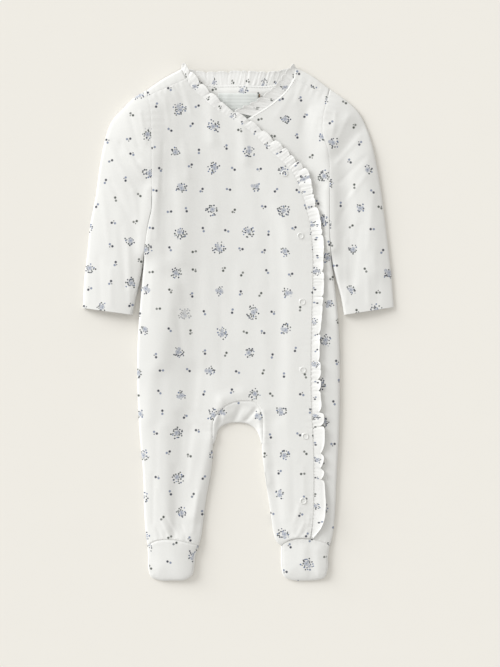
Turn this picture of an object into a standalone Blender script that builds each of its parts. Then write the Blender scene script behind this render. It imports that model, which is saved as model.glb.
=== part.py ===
"""Footed baby sleepsuit with a frilled wrap front, laid flat on its back.

Every piece of cloth is a sheet: a grid of places seen from above, each with an outer and
an inner point one cloth apart.  All sheets read one relief, so they lie on each other and
meet at their seams.  The tables are in millimetres, with x across, y up the body, z up,
the origin under the middle of the suit.  "Right" and "left" are the wearer's.
"""

import math
from collections import namedtuple

import bmesh
import bpy
import numpy as np

MM = 0.001

# ---- driving sizes, in millimetres
CLOTH = 1.2             # one wall of cloth
SEAM = 0.3              # gap between two pieces at a seam
CROWN = 2.4             # how far the top layer stands off the back
ROLL = 7.0              # width over which a folded edge rounds off
CORNER = 0.8            # how far the lower corner of a folded edge is drawn in
TURN_WALL = 0.5         # extra thickness of the wall inside a fold
LAP = 0.6               # air between the two fronts where they lie on each other
LAP_RAMP = (22.0, 8.0)  # the upper front climbs onto the lower one between these distances
LAP_SETTLE = 11.0       # and comes down again this near a folded edge
SOLE_TURN = 2.8         # the sole shows this much round the foot
LABEL = (46.0, 28.0)    # woven label, width and height
LABEL_TOP = 262.9       # top edge of the label
LABEL_THICK = 1.0
SNAP_OUTER = 4.25       # ring cap of a press fastener, radii and height
SNAP_INNER = 2.3
SNAP_HEIGHT = 1.1
SNAP_BEVEL = 0.4

# ---- frills, gathered strips
FRILL_LIFT = 4.0        # how high a lobe stands at the free edge
FRILL_LOW = 0.4         # how high the deepest tuck lies at the free edge
FRILL_UNEVEN = 0.22     # how much the lobes differ in height
FRILL_ROUND = 0.8       # power of a lobe's sine, below one for a fuller lobe
FRILL_SCALLOP = 0.14    # how far the free edge draws in at a tuck, of its width
FRILL_STEPS = 5         # segments in one lobe
FRILL_CURL = 1.6        # power of the rise from seam to free edge
FRILL_CALM = 16.0       # a hidden end lies flat, and rises over this run

# ---- outline of the body, from the underarm to the ankle
Width = namedtuple("Width", "place y right left")
BODY = (
    Width("underarm", 152.0, -98.6, 104.6),
    Width("ribs", 130.0, -99.2, 104.8),
    Width("waist", 110.0, -103.6, 104.6),
    Width("belly", 80.0, -107.8, 106.3),
    Width("belly low", 40.0, -111.6, 111.4),
    Width("hip", -5.0, -115.1, 115.6),
    Width("seat", -70.0, -116.4, 117.0),
    Width("thigh", -123.0, -114.1, 116.2),
    Width("knee", -177.0, -109.5, 113.4),
    Width("shin", -222.0, -108.2, 111.2),
    Width("above ankle", -246.0, -106.2, 108.6),
    Width("ankle", -257.0, -104.6, 105.5),
)
INSEAM = (
    Width("crotch", -142.4, -29.0, 27.3),
    Width("thigh", -155.0, -29.4, 27.9),
    Width("thigh low", -167.0, -30.6, 29.4),
    Width("knee", -180.0, -32.7, 31.2),
    Width("calf", -205.0, -37.2, 34.9),
    Width("shin", -228.0, -40.1, 38.4),
    Width("above ankle", -244.0, -42.0, 40.9),
    Width("hem", -251.0, -43.4, 43.4),
    Width("hem corner", -254.5, -44.4, 45.8),
    Width("ankle", -257.0, -45.4, 49.2),
)

# ---- sleeves: folded outer edge and underarm edge, from the armhole to the cuff
Sleeve = namedtuple("Sleeve", "place outer_x outer_y inner_x inner_y")
SLEEVE_RIGHT = (
    Sleeve("armhole", -104.9, 267.0, -99.0, 151.8),
    Sleeve("cap", -118.7, 259.0, -100.0, 141.0),
    Sleeve("cap end", -132.0, 246.5, -101.6, 130.0),
    Sleeve("upper arm", -146.4, 230.0, -104.6, 112.0),
    Sleeve("upper arm low", -153.6, 209.0, -106.8, 99.0),
    Sleeve("above elbow", -159.4, 180.0, -108.2, 88.0),
    Sleeve("elbow", -164.2, 145.0, -109.0, 76.0),
    Sleeve("forearm", -170.2, 114.0, -109.9, 64.0),
    Sleeve("forearm low", -173.6, 82.0, -113.4, 45.0),
    Sleeve("wrist", -177.4, 48.0, -118.0, 26.0),
    Sleeve("cuff", -179.1, 16.3, -121.6, 8.3),
)
SLEEVE_LEFT = (
    Sleeve("armhole", 105.3, 268.4, 105.0, 151.8),
    Sleeve("cap", 122.3, 256.7, 105.9, 141.0),
    Sleeve("cap end", 138.0, 242.2, 106.4, 131.0),
    Sleeve("upper arm", 148.1, 222.5, 106.5, 119.0),
    Sleeve("upper arm low", 154.4, 203.3, 106.6, 106.0),
    Sleeve("above elbow", 159.6, 178.7, 107.0, 92.0),
    Sleeve("elbow", 164.6, 149.0, 108.3, 78.0),
    Sleeve("forearm", 169.0, 116.0, 111.0, 63.0),
    Sleeve("forearm low", 172.8, 84.0, 114.8, 45.0),
    Sleeve("wrist", 176.6, 50.0, 118.4, 28.0),
    Sleeve("cuff", 179.1, 17.4, 121.6, 8.3),
)

# ---- seams and edges seen from above
Point = namedtuple("Point", "place x y")
ARMHOLE_RIGHT = (
    Point("shoulder", -104.9, 267.0),
    Point("shoulder seam", -103.8, 259.0),
    Point("front bend", -101.5, 249.8),
    Point("chest", -99.8, 226.8),
    Point("chest low", -99.2, 198.0),
    Point("underarm", -98.6, 152.0),
)
ARMHOLE_LEFT = (
    Point("shoulder", 105.3, 268.4),
    Point("shoulder seam", 103.4, 260.0),
    Point("front bend", 100.9, 250.9),
    Point("chest", 96.8, 230.2),
    Point("chest low", 97.5, 213.0),
    Point("bulge", 100.9, 204.9),
    Point("bulge end", 103.8, 192.3),
    Point("underarm", 104.6, 152.0),
)
SHOULDER_FOLD_RIGHT = (
    Point("neck", -65.5, 291.5),
    Point("middle", -87.7, 279.0),
    Point("sleeve", -104.9, 267.0),
)
SHOULDER_FOLD_LEFT = (
    Point("neck", 66.0, 293.4),
    Point("middle", 84.8, 283.4),
    Point("sleeve", 105.3, 268.4),
)
SHOULDER_SEAM_RIGHT = (Point("neck", -59.4, 279.6), Point("armhole", -103.8, 259.0))
SHOULDER_SEAM_LEFT = (Point("neck", 63.6, 280.2), Point("armhole", 103.4, 260.0))
BACK_NECK = (
    Point("right", -65.5, 291.5),
    Point("right curve", -58.5, 280.0),
    Point("right low", -44.0, 274.6),
    Point("centre", 0.0, 272.6),
    Point("left low", 46.0, 274.8),
    Point("left curve", 60.0, 281.0),
    Point("left", 66.0, 293.4),
)
WRAP_EDGE = (
    Point("shoulder", -59.4, 279.6),
    Point("neck side", -52.5, 267.8),
    Point("neck curve", -40.6, 257.6),
    Point("neck low", -29.6, 247.4),
    Point("wrap point", -8.8, 235.1),
    Point("chest", 10.4, 221.8),
    Point("chest low", 39.5, 194.4),
    Point("first snap", 63.6, 170.2),
    Point("turn", 73.4, 147.0),
    Point("side", 82.6, 111.6),
    Point("side low", 86.2, 76.0),
    Point("belly", 86.0, 40.0),
    Point("hip", 84.8, -1.0),
    Point("seat", 84.8, -98.7),
    Point("thigh", 86.7, -140.0),
    Point("knee", 87.4, -196.0),
    Point("shin", 85.6, -235.5),
    Point("ankle", 84.0, -248.4),
)
UNDER_EDGE = (
    Point("shoulder", 63.6, 280.2),
    Point("neck side", 56.0, 267.6),
    Point("neck curve", 38.8, 251.6),
    Point("neck low", 12.4, 234.6),
    Point("corner above", -1.0, 226.0),
    Point("corner", -3.4, 217.0),
    Point("hidden slope", 14.0, 188.0),
    Point("hidden slope low", 42.3, 148.0),
    Point("hidden turn", 57.0, 112.0),
    Point("hidden edge", 60.0, 76.0),
    Point("hidden hip", 60.0, -100.0),
    Point("hidden shin", 61.0, -210.0),
    Point("hidden ankle", 62.5, -248.6),
)
CROTCH_SEAM = (
    Point("right end", -29.4, -141.0),
    Point("right side", -29.6, -132.0),
    Point("right bend", -27.6, -111.0),
    Point("right corner", -21.6, -102.4),
    Point("top right", -7.6, -93.0),
    Point("top", 5.9, -90.8),
    Point("top left", 19.0, -92.4),
    Point("left corner", 26.2, -101.4),
    Point("left bend", 28.4, -118.0),
    Point("left side", 28.4, -132.0),
    Point("left end", 27.7, -140.0),
)
CROTCH_FOLD = (
    Point("right end", -29.0, -142.4),
    Point("right side", -26.2, -135.5),
    Point("right bend", -22.0, -122.4),
    Point("right corner", -15.0, -117.6),
    Point("middle", 0.0, -115.5),
    Point("left corner", 12.0, -117.6),
    Point("left bend", 20.4, -123.7),
    Point("left side", 24.6, -133.0),
    Point("left end", 27.3, -142.4),
)
FOOT_RIGHT = (
    Point("outer ankle", -104.5, -258.0),
    Point("outer side", -103.9, -270.0),
    Point("outer side low", -103.7, -284.0),
    Point("outer corner", -100.6, -293.0),
    Point("toe outer", -90.0, -297.2),
    Point("toe", -76.0, -297.4),
    Point("toe inner", -61.0, -296.4),
    Point("inner corner", -52.8, -291.0),
    Point("inner side low", -50.4, -280.0),
    Point("inner side", -49.2, -268.0),
    Point("inner ankle", -45.4, -257.6),
)
FOOT_LEFT = (
    Point("outer ankle", 105.5, -257.6),
    Point("outer side", 103.5, -269.0),
    Point("outer side low", 103.4, -283.0),
    Point("outer corner", 99.4, -293.6),
    Point("toe outer", 88.0, -297.0),
    Point("toe", 76.0, -297.4),
    Point("toe inner", 62.0, -296.9),
    Point("inner corner", 52.6, -292.8),
    Point("inner side low", 49.4, -282.0),
    Point("inner side", 49.0, -268.0),
    Point("inner ankle", 49.2, -257.6),
)
ANKLE_RIGHT = (
    Point("outer", -104.6, -257.0),
    Point("outer rise", -97.0, -252.4),
    Point("top", -77.6, -250.0),
    Point("inner rise", -61.0, -252.6),
    Point("inner", -45.4, -257.0),
)
ANKLE_LEFT = (
    Point("outer", 105.5, -257.0),
    Point("outer rise", 95.6, -252.4),
    Point("top", 77.6, -248.2),
    Point("inner rise", 59.0, -250.2),
    Point("inner", 49.2, -257.0),
)
FRILL_WRAP_FREE = (
    Point("start", -64.6, 296.6),
    Point("first crest", -62.2, 297.4),
    Point("first lobe", -58.0, 292.8),
    Point("second lobe", -53.0, 287.5),
    Point("second lobe end", -46.7, 281.5),
    Point("neck", -42.1, 275.3),
    Point("neck curve", -37.3, 270.7),
    Point("neck low", -32.3, 265.9),
    Point("label corner", -22.8, 257.4),
    Point("wrap point", -8.8, 244.7),
    Point("over the V", 0.9, 239.9),
    Point("chest", 11.2, 233.9),
    Point("chest low", 28.5, 221.0),
    Point("breast", 39.7, 211.8),
    Point("breast low", 52.2, 202.6),
    Point("first snap", 64.6, 188.8),
    Point("turn", 74.0, 181.0),
    Point("turn low", 81.1, 172.7),
    Point("side", 84.8, 156.6),
    Point("side low", 89.0, 137.1),
    Point("ribs", 92.6, 126.7),
    Point("waist", 95.4, 110.6),
    Point("belly", 98.2, 92.2),
    Point("belly low", 97.9, 69.2),
    Point("hip", 98.6, 42.8),
    Point("hip low", 97.0, 16.3),
    Point("seat", 95.2, -4.4),
    Point("narrow", 93.6, -36.6),
    Point("seat low", 95.2, -57.3),
    Point("thigh", 94.7, -84.9),
    Point("thigh low", 98.2, -105.6),
    Point("knee", 99.5, -128.6),
    Point("knee low", 98.8, -160.8),
    Point("shin", 99.5, -186.1),
    Point("shin low", 99.5, -226.3),
    Point("hem", 95.9, -237.8),
    Point("hem low", 90.6, -244.7),
    Point("ankle", 86.9, -247.7),
)
FRILL_UNDER_FREE = (
    Point("shoulder", 64.0, 297.6),
    Point("shoulder seam", 54.4, 288.0),
    Point("neck side", 43.4, 273.4),
    Point("neck curve", 24.6, 257.6),
    Point("wrap point", -7.6, 241.8),
)
FRILL_BACK_FREE = (
    Point("right", -58.0, 292.0),
    Point("right low", -47.0, 289.4),
    Point("centre", 0.0, 289.6),
    Point("left low", 50.0, 290.6),
    Point("left", 62.0, 294.2),
)

# tucks down the long frill: heights of their ends on the seam and the free edge, and depths
Tuck = namedtuple("Tuck", "seam_y free_y depth")
WRAP_TUCKS = (
    Tuck(278.5, 288.9, 1.0),
    Tuck(266.5, 274.8, 1.0),
    Tuck(257.3, 264.2, 0.9),
    Tuck(245.2, 253.8, 0.5),
    Tuck(235.6, 242.2, 0.6),
    Tuck(224.7, 231.8, 0.8),
    Tuck(213.0, 221.0, 0.7),
    Tuck(201.5, 209.5, 0.8),
    Tuck(191.7, 200.9, 0.7),
    Tuck(177.3, 185.4, 1.0),
    Tuck(169.3, 178.2, 0.8),
    Tuck(153.2, 156.1, 0.3),
    Tuck(128.5, 133.1, 1.0),
    Tuck(116.4, 117.5, 0.3),
    Tuck(100.3, 100.3, 0.7),
    Tuck(88.8, 88.8, 0.4),
    Tuck(78.4, 78.4, 0.4),
    Tuck(57.7, 57.7, 0.7),
    Tuck(37.0, 37.0, 0.4),
    Tuck(19.2, 19.2, 0.7),
    Tuck(-2.8, -2.8, 0.4),
    Tuck(-16.4, -13.6, 1.0),
    Tuck(-45.2, -45.2, 0.7),
    Tuck(-66.5, -66.5, 1.0),
    Tuck(-79.1, -79.1, 0.7),
    Tuck(-101.0, -101.0, 1.0),
    Tuck(-119.9, -119.9, 0.9),
    Tuck(-149.8, -147.5, 0.7),
    Tuck(-170.0, -170.0, 0.5),
    Tuck(-181.5, -181.5, 1.0),
    Tuck(-206.4, -206.4, 0.4),
    Tuck(-228.6, -228.6, 0.5),
)
# tucks of the short frills, as shares of their runs
UNDER_TUCKS = (0.0, 0.12, 0.25, 0.40, 0.52, 0.66, 0.82, 1.0)
BACK_TUCKS = (0.0, 0.08, 0.17, 0.27, 0.35, 0.46, 0.54, 0.65, 0.74, 0.82, 0.91, 1.0)

Snap = namedtuple("Snap", "name x y")
SNAPS = (
    Snap("snap_1", 53.3, 170.7),
    Snap("snap_2", 71.6, 99.1),
    Snap("snap_3", 73.5, 23.2),
    Snap("snap_4", 74.2, -55.0),
    Snap("snap_5", 77.1, -130.9),
    Snap("snap_6", 74.7, -205.2),
)

# ---- soft folds in the top layer: a ridge or trough along a line, with its spread
Fold = namedtuple("Fold", "place x0 y0 x1 y1 spread height")
FOLDS = (
    Fold("roll beside the right side", -94.0, 246.0, -98.0, 60.0, 7.0, 0.9),
    Fold("trough inside the roll", -80.0, 240.0, -82.0, 90.0, 8.0, -0.7),
    Fold("neck ridge", -44.0, 246.0, -35.0, 212.0, 7.0, 0.8),
    Fold("neck trough", -56.0, 236.0, -50.0, 190.0, 8.0, -0.6),
    Fold("belly trough", -58.0, 90.0, -52.0, 0.0, 10.0, -0.6),
    Fold("hip ridge", -84.0, -4.0, -90.0, -76.0, 8.0, 0.8),
    Fold("hip trough", -66.0, -10.0, -60.0, -92.0, 10.0, -0.7),
    Fold("right leg ridge", -80.0, -150.0, -79.0, -236.0, 7.0, 0.7),
    Fold("right leg trough", -64.0, -110.0, -66.0, -236.0, 7.0, -0.7),
    Fold("right inner leg ridge", -44.0, -110.0, -52.0, -226.0, 8.0, 0.6),
    Fold("left leg trough", 36.0, -92.0, 50.0, -180.0, 8.0, -0.6),
    Fold("left leg ridge", 52.0, -92.0, 57.0, -226.0, 8.0, 0.5),
    Fold("left side trough", 74.0, 226.0, 84.0, 190.0, 9.0, -0.6),
    Fold("armhole bulge", 98.0, 216.0, 101.0, 186.0, 7.0, 0.7),
    Fold("right sleeve crease", -139.0, 216.0, -114.0, 178.0, 7.0, -0.9),
    Fold("right sleeve crease low", -134.0, 176.0, -116.0, 140.0, 9.0, -0.5),
    Fold("left sleeve crease", 134.0, 226.0, 108.0, 204.0, 7.0, -0.9),
    Fold("left sleeve crease low", 140.0, 204.0, 112.0, 176.0, 8.0, -0.7),
    Fold("right foot", -77.0, -268.0, -77.0, -284.0, 16.0, 1.0),
    Fold("left foot", 76.0, -268.0, 76.0, -284.0, 16.0, 1.0),
)

# ---- looks: linear red, green, blue, then roughness and metallic value
Look = namedtuple("Look", "colour roughness metallic")
KNIT = Look((0.83, 0.82, 0.79), 0.85, 0.0)
FRILL_KNIT = Look((0.86, 0.85, 0.82), 0.85, 0.0)
LABEL_TAPE = Look((0.66, 0.70, 0.68), 0.7, 0.0)
SNAP_ENAMEL = Look((0.80, 0.80, 0.78), 0.35, 0.0)

# ---- how finely the sheets are divided
EDGE_STEPS = (0.0, 1.1, 4.1, 8.2)      # columns where a folded edge rounds off
TURN_SHARES = (0.0, 0.12, 0.45, 1.0)   # columns of the turn over a shoulder
GUSSET_COLUMNS = (0.0, 0.06, 0.22, 0.5, 1.0)
GUSSET_START = 0.03                    # the crescent's blunt ends, as a share of its fold
ARCH_POINTS = 7                        # over the top of the crotch seam
NECK_POINTS = 11                       # along the back neck
TORSO_BOTTOM = -102.0                  # row where the legs part
HEEL = -257.0                          # where the back meets the soles
TORSO_ROWS = 28
PART_COLUMNS = 8                       # across a leg, or the torso beside the crotch
INNER_LEG_WIDTH = 45.0                 # usual width of the upper front on the left leg
UNDER_WIDTH = 56.0                     # usual width of the lower front
LEG_ROWS = 11
SLEEVE_ROWS = 11                       # from the underarm to the cuff
SLEEVE_COLUMNS = 10
SLEEVE_WIDTH = 60.0                    # usual width of a sleeve laid flat
SLEEVE_SHARE = 0.43                    # of the outer edge, to the place opposite the underarm
FOOT_ROWS = 6
FOOT_COLUMNS = 7
SNAP_SIDES = 16
SHOULDER_POINTS = 5                    # along the turn over a shoulder
TURN_ROOM = 20.0                       # width of cloth beside a fold, where it has plenty
ON_EDGE = 0.05                         # nearer than this to a folded edge is on it
NUDGE = 0.01                           # step off an edge, to tell its inner side
EDGE_FADE = 0.25                       # share of a sheet over which its end rows fade out
LOW_FADE = 0.1                         # the same for the long lower front
FOOT_FADE = 0.6                        # and for a foot
SHARP = math.radians(40.0)             # edges sharper than this are not shaded smooth
FRILL_OFFSET = 0.45                    # from a panel's edge to its frill's
LOBE_TURN = 2.4                        # turn of the wave that makes lobes differ, per lobe
UNDER_FRILL_LOW = 235.6                # height at which the lower frill goes out of sight
BACK_FRILL_HALF = 54.0                 # half the run of the back frill, up to the fronts


# ---------------------------------------------------------------- curves and grids

def places(table):
    """The x, y columns of a table of points."""
    return np.array([(row.x, row.y) for row in table])


def run_of(curve):
    """Distance along the curve, by its first two columns, at each of its points."""
    steps = np.linalg.norm(np.diff(curve[:, :2], axis=0), axis=1)
    return np.concatenate([[0.0], np.cumsum(steps)])


def smooth(points, step=2.0):
    """A curve through the points: a cubic between each two, tangents from their neighbours."""
    points = np.asarray(points, float)
    run = run_of(points)
    tangent = np.gradient(points, run, axis=0)
    at = np.linspace(0.0, run[-1], max(8, int(run[-1] / step)))
    k = np.clip(np.searchsorted(run, at, side="right") - 1, 0, len(run) - 2)
    gap = (run[k + 1] - run[k])[:, None]
    t = (at - run[k])[:, None] / gap
    return ((1 + 2 * t) * (1 - t) ** 2 * points[k] + t * (1 - t) ** 2 * gap * tangent[k]
            + t * t * (3 - 2 * t) * points[k + 1] + t * t * (t - 1) * gap * tangent[k + 1])


def along(curve, shares):
    """Points at the given shares of the curve's length."""
    run = run_of(curve)
    at = np.asarray(shares, float) * run[-1]
    return np.stack([np.interp(at, run, column) for column in curve.T], axis=1)


def at_heights(curve, heights):
    """Points where a curve that runs up or down crosses the given heights."""
    order = np.argsort(curve[:, 1])
    x = np.interp(heights, curve[order, 1], curve[order, 0])
    return np.stack([x, np.asarray(heights, float)], axis=-1)


def line(start, end, shares):
    """Points of a straight line at the given shares."""
    shares = np.asarray(shares, float)[:, None]
    return np.asarray(start) * (1 - shares) + np.asarray(end) * shares


def unit(ways):
    """Ways scaled to length one."""
    return ways / np.maximum(np.linalg.norm(ways, axis=-1, keepdims=True), 1e-6)


def shifted(curve, distance):
    """The curve moved sideways, to the left of its run when the distance is positive."""
    ahead = unit(np.gradient(curve, axis=0))
    left = np.stack([-ahead[:, 1], ahead[:, 0]], axis=1)
    return curve + left * np.broadcast_to(distance, len(curve))[:, None]


def smooth_step(value):
    """0 below 0, 1 above 1, an S curve between."""
    value = np.clip(value, 0.0, 1.0)
    return value * value * (3 - 2 * value)


def spread(distances, start=0, end=0):
    """Columns of a row: the first and last few keep their distance to the edge."""
    distances = np.asarray(distances, float)
    whole = distances[-1]
    first = distances[start]
    last = whole - distances[len(distances) - 1 - end]

    def columns(width):
        scale = (width - first - last) / (whole - first - last)
        place = first + (distances - first) * scale
        place[:start] = distances[:start]
        if end:
            place[-end:] = width - whole + distances[-end:]
        return place / width
    return columns


def weave(left, right, columns, top=None, bottom=None, reach=EDGE_FADE):
    """Straight rows between two edges; given first and last rows fade out over the reach."""
    grid = np.array([line(a, b, columns(np.linalg.norm(b - a))) for a, b in zip(left, right)])
    v = np.linspace(0.0, 1.0, len(left))
    change = np.zeros_like(grid)
    if top is not None:
        change += smooth_step(1 - v / reach)[:, None, None] * (top - grid[0])
    if bottom is not None:
        change += smooth_step(1 - (1 - v) / reach)[:, None, None] * (bottom - grid[-1])
    return grid + change


# ---------------------------------------------------------------- the suit's curves

def side(table, column):
    """One edge of the body or a leg as a curve."""
    return smooth([(getattr(row, column), row.y) for row in table])


def sleeve_rows(table):
    """Outer and underarm edge of a sleeve, place by place, in four columns."""
    return smooth([row[1:] for row in table])


SIDE = {"right": side(BODY, "right"), "left": side(BODY, "left")}
INSEAM_EDGE = {"right": side(INSEAM, "right"), "left": side(INSEAM, "left")}
SLEEVE_EDGES = {"right": sleeve_rows(SLEEVE_RIGHT), "left": sleeve_rows(SLEEVE_LEFT)}
CURVE = {name: smooth(places(table)) for name, table in (
    ("armhole_right", ARMHOLE_RIGHT), ("armhole_left", ARMHOLE_LEFT),
    ("fold_right", SHOULDER_FOLD_RIGHT), ("fold_left", SHOULDER_FOLD_LEFT),
    ("seam_right", SHOULDER_SEAM_RIGHT), ("seam_left", SHOULDER_SEAM_LEFT),
    ("neck", BACK_NECK), ("wrap", WRAP_EDGE), ("under", UNDER_EDGE),
    ("crotch_seam", CROTCH_SEAM), ("crotch_fold", CROTCH_FOLD),
    ("foot_right", FOOT_RIGHT), ("foot_left", FOOT_LEFT),
    ("ankle_right", ANKLE_RIGHT), ("ankle_left", ANKLE_LEFT),
    ("frill_wrap_free", FRILL_WRAP_FREE), ("frill_under_free", FRILL_UNDER_FREE),
    ("frill_back_free", FRILL_BACK_FREE),
)}

# the folded and seamed silhouette, where the top layer comes down to the back
FOLDED_EDGES = (
    CURVE["fold_right"], CURVE["fold_left"], SIDE["right"], SIDE["left"],
    INSEAM_EDGE["right"], INSEAM_EDGE["left"],
    CURVE["crotch_fold"], CURVE["foot_right"], CURVE["foot_left"],
    SLEEVE_EDGES["right"][:, :2], SLEEVE_EDGES["right"][:, 2:],
    SLEEVE_EDGES["left"][:, :2], SLEEVE_EDGES["left"][:, 2:],
)
SEGMENT_START = np.concatenate([curve[:-1] for curve in FOLDED_EDGES])
SEGMENT_END = np.concatenate([curve[1:] for curve in FOLDED_EDGES])


def crotch_parts():
    """The crotch seam as three curves: beside the right leg, the top, beside the left leg."""
    seam = CURVE["crotch_seam"]
    corners = [(p.x, p.y) for p in CROTCH_SEAM if p.place in ("right corner", "left corner")]
    first, last = (np.argmin(np.linalg.norm(seam - corner, axis=1)) for corner in corners)
    return seam[:first + 1][::-1], seam[first:last + 1], seam[last:]


def leg_inner(leg):
    """Inner edge of a leg panel: down the crotch seam, then down the inseam."""
    right, _, left = crotch_parts()
    return np.concatenate([right if leg == "right" else left, INSEAM_EDGE[leg]])


def rows_down(edge, top, low=HEEL, leg_top=TORSO_BOTTOM):
    """Places of the rows on an edge: down the torso, then down the leg."""
    torso = np.linspace(top, TORSO_BOTTOM, TORSO_ROWS)
    leg = np.linspace(leg_top, low, LEG_ROWS)
    return at_heights(edge, torso), at_heights(edge, leg)


def edge_rows(half):
    """Rows on the outer edge of the body: down the armhole, then down the side seam."""
    edge = np.concatenate([CURVE["armhole_" + half], SIDE[half][1:]])
    return rows_down(edge, CURVE["seam_" + half][-1, 1])


def inner_rows(leg):
    """Rows on the inner edge of a leg."""
    inner = leg_inner(leg)
    return rows_down(inner, inner[0, 1], leg_top=inner[0, 1])[1]


def arch_points():
    """Points of the crotch seam over its top, shared by all that meet there."""
    return along(crotch_parts()[1], np.linspace(0.0, 1.0, ARCH_POINTS))


def armhole_line(half):
    """The armhole as straight runs between the rows of the body."""
    rows = edge_rows(half)[0]
    underarm = SLEEVE_EDGES[half][0, 2:]
    return np.vstack([CURVE["fold_" + half][-1], rows[rows[:, 1] > underarm[1] + 5.0], underarm])


# ---------------------------------------------------------------- the relief

def nearest(points, start, end):
    """Distance from each point to the nearest segment, and the unit way back from it."""
    flat = points.reshape(-1, 1, 2)
    run = end - start
    t = np.sum((flat - start) * run, axis=2) / np.sum(run * run, axis=1)
    foot = start + np.clip(t, 0.0, 1.0)[..., None] * run
    gap = np.linalg.norm(flat - foot, axis=2)
    best = np.argmin(gap, axis=1)
    pick = np.arange(len(flat))
    away = unit(flat[:, 0] - foot[pick, best])
    return gap[pick, best].reshape(points.shape[:-1]), away.reshape(points.shape)


def folds(points):
    """Sum of the ridges and troughs: each a bell across its line, rounded at its ends."""
    total = np.zeros(points.shape[:-1])
    for fold in FOLDS:
        start = np.array([[fold.x0, fold.y0]])
        end = np.array([[fold.x1, fold.y1]])
        distance, _ = nearest(points, start, end)
        total += fold.height * np.exp(-(distance / fold.spread) ** 2)
    return total


def lap(points):
    """How far the upper front is raised where the lower front lies under it."""
    hidden = CURVE["under"]
    distance, _ = nearest(points, hidden[:-1], hidden[1:])
    outside = np.where(points[..., 0] < at_heights(hidden, points[..., 1])[..., 0], distance, 0.0)
    far, near = LAP_RAMP
    return (CLOTH + LAP) * smooth_step((far - outside) / (far - near))


def lay(points, inward, raised=0.0):
    """Outer and inner points of the top layer, which rises from a folded edge.

    At a distance d from the edge the angle is arccos(1 - d / (roll + cloth)).  The height
    is its sine times the crown, and the inner point lies one cloth further in.
    """
    distance, away = nearest(points + inward * NUDGE, SEGMENT_START, SEGMENT_END)
    cosine = np.clip(1.0 - distance / (ROLL + CLOTH), 0.0, 1.0)
    sine = np.sqrt(1.0 - cosine ** 2)
    crown = CROWN + folds(points) + raised * smooth_step(distance / LAP_SETTLE)
    outer = np.dstack([points, CLOTH + SEAM + (crown + CLOTH) * sine])
    inner_points = points + away * (CLOTH * cosine)[..., None]
    return outer, np.dstack([inner_points, CLOTH + SEAM + crown * sine])


def inward_of(grid):
    """Unit ways into a sheet: square to its two side edges, along the rows between them."""
    ways = unit(0.5 * (grid[:, :1] + grid[:, -1:]) - grid)
    for column in (0, -1):
        ahead = unit(np.gradient(grid[:, column], axis=0))
        square = np.stack([-ahead[:, 1], ahead[:, 0]], axis=1)
        ways[:, column] = square * np.sign(np.sum(square * ways[:, column]))
    return ways


def at_level(points, height):
    """The points, all at one height."""
    return np.concatenate([points, np.full(points.shape[:-1] + (1,), height)], axis=-1)


def flat_on_table(grid):
    """Outer and inner points of the back, its lower corner drawn in at a folded edge."""
    distance, away = nearest(grid + inward_of(grid) * NUDGE, SEGMENT_START, SEGMENT_END)
    drawn_in = grid + away * (CORNER * (distance < ON_EDGE))[..., None]
    return at_level(drawn_in, 0.0), at_level(grid, CLOTH)


def turn_under(edge, inward, room):
    """Outer and inner points of a folded edge's lower corner."""
    drawn_in = np.minimum(CORNER, 0.3 * room)[..., None]
    inner_in = np.minimum(CLOTH + TURN_WALL, 0.6 * room)[..., None]
    return at_level(edge + inward * drawn_in, 0.0), at_level(edge + inward * inner_in, CLOTH)


# ---------------------------------------------------------------- meshes

class Sheet:
    """Patches of outer and inner points, joined where they lie at the same place."""

    def __init__(self):
        self.pairs = []
        self.quads = []
        self.seen = {}

    def add(self, outer, inner):
        """Add one grid of point pairs."""
        rows, columns = outer.shape[:2]
        ids = np.empty((rows, columns), int)
        for r in range(rows):
            for c in range(columns):
                x, y, z = outer[r, c]
                key = (round(x, 2), round(y, 2), z > CLOTH)
                if key not in self.seen:
                    self.seen[key] = len(self.pairs)
                    self.pairs.append((outer[r, c], inner[r, c]))
                ids[r, c] = self.seen[key]
        for r in range(rows - 1):
            for c in range(columns - 1):
                self.quads.append((ids[r, c], ids[r, c + 1], ids[r + 1, c + 1], ids[r + 1, c]))

    def mesh(self, name):
        """Close the sheet: outer faces, inner faces, and walls along the open edges."""
        count = len(self.pairs)
        triangles = []
        for a, b, c, d in self.quads:
            triangles += [t for t in ((a, b, c), (a, c, d)) if len(set(t)) == 3]
        uses = {}
        for t in triangles:
            for i in range(3):
                edge = (t[i], t[(i + 1) % 3])
                uses.setdefault(tuple(sorted(edge)), []).append(edge)
        faces = triangles + [(c + count, b + count, a + count) for a, b, c in triangles]
        for edges in uses.values():
            if len(edges) == 1:
                a, b = edges[0]
                faces += [(b, a, a + count), (b, a + count, b + count)]
        points = [pair[0] for pair in self.pairs] + [pair[1] for pair in self.pairs]
        return closed_mesh(name, points, [[int(i) for i in face] for face in faces])


def closed_mesh(name, points, faces):
    """A mesh of the points, which are in millimetres, with every face turned outwards."""
    mesh = bpy.data.meshes.new(name)
    mesh.from_pydata((np.array(points) * MM).tolist(), [], faces)
    work = bmesh.new()
    work.from_mesh(mesh)
    bmesh.ops.recalc_face_normals(work, faces=work.faces)
    if work.calc_volume(signed=True) < 0.0:
        bmesh.ops.reverse_faces(work, faces=work.faces)
    work.to_mesh(mesh)
    work.free()
    return mesh


def place(name, mesh, look):
    """Put a mesh in the scene as a named piece, shaded smooth with its rims sharp."""
    material = surface(name, look)
    mesh.shade_smooth()
    mesh.set_sharp_from_angle(angle=SHARP)
    mesh.materials.append(material)
    piece = bpy.data.objects.new(name, mesh)
    bpy.context.scene.collection.objects.link(piece)


def surface(name, look):
    """A plain material of one colour."""
    material = bpy.data.materials.new(name)
    material.use_nodes = True
    shader = material.node_tree.nodes["Principled BSDF"]
    shader.inputs["Base Color"].default_value = (*look.colour, 1.0)
    shader.inputs["Roughness"].default_value = look.roughness
    shader.inputs["Metallic"].default_value = look.metallic
    return material


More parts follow.
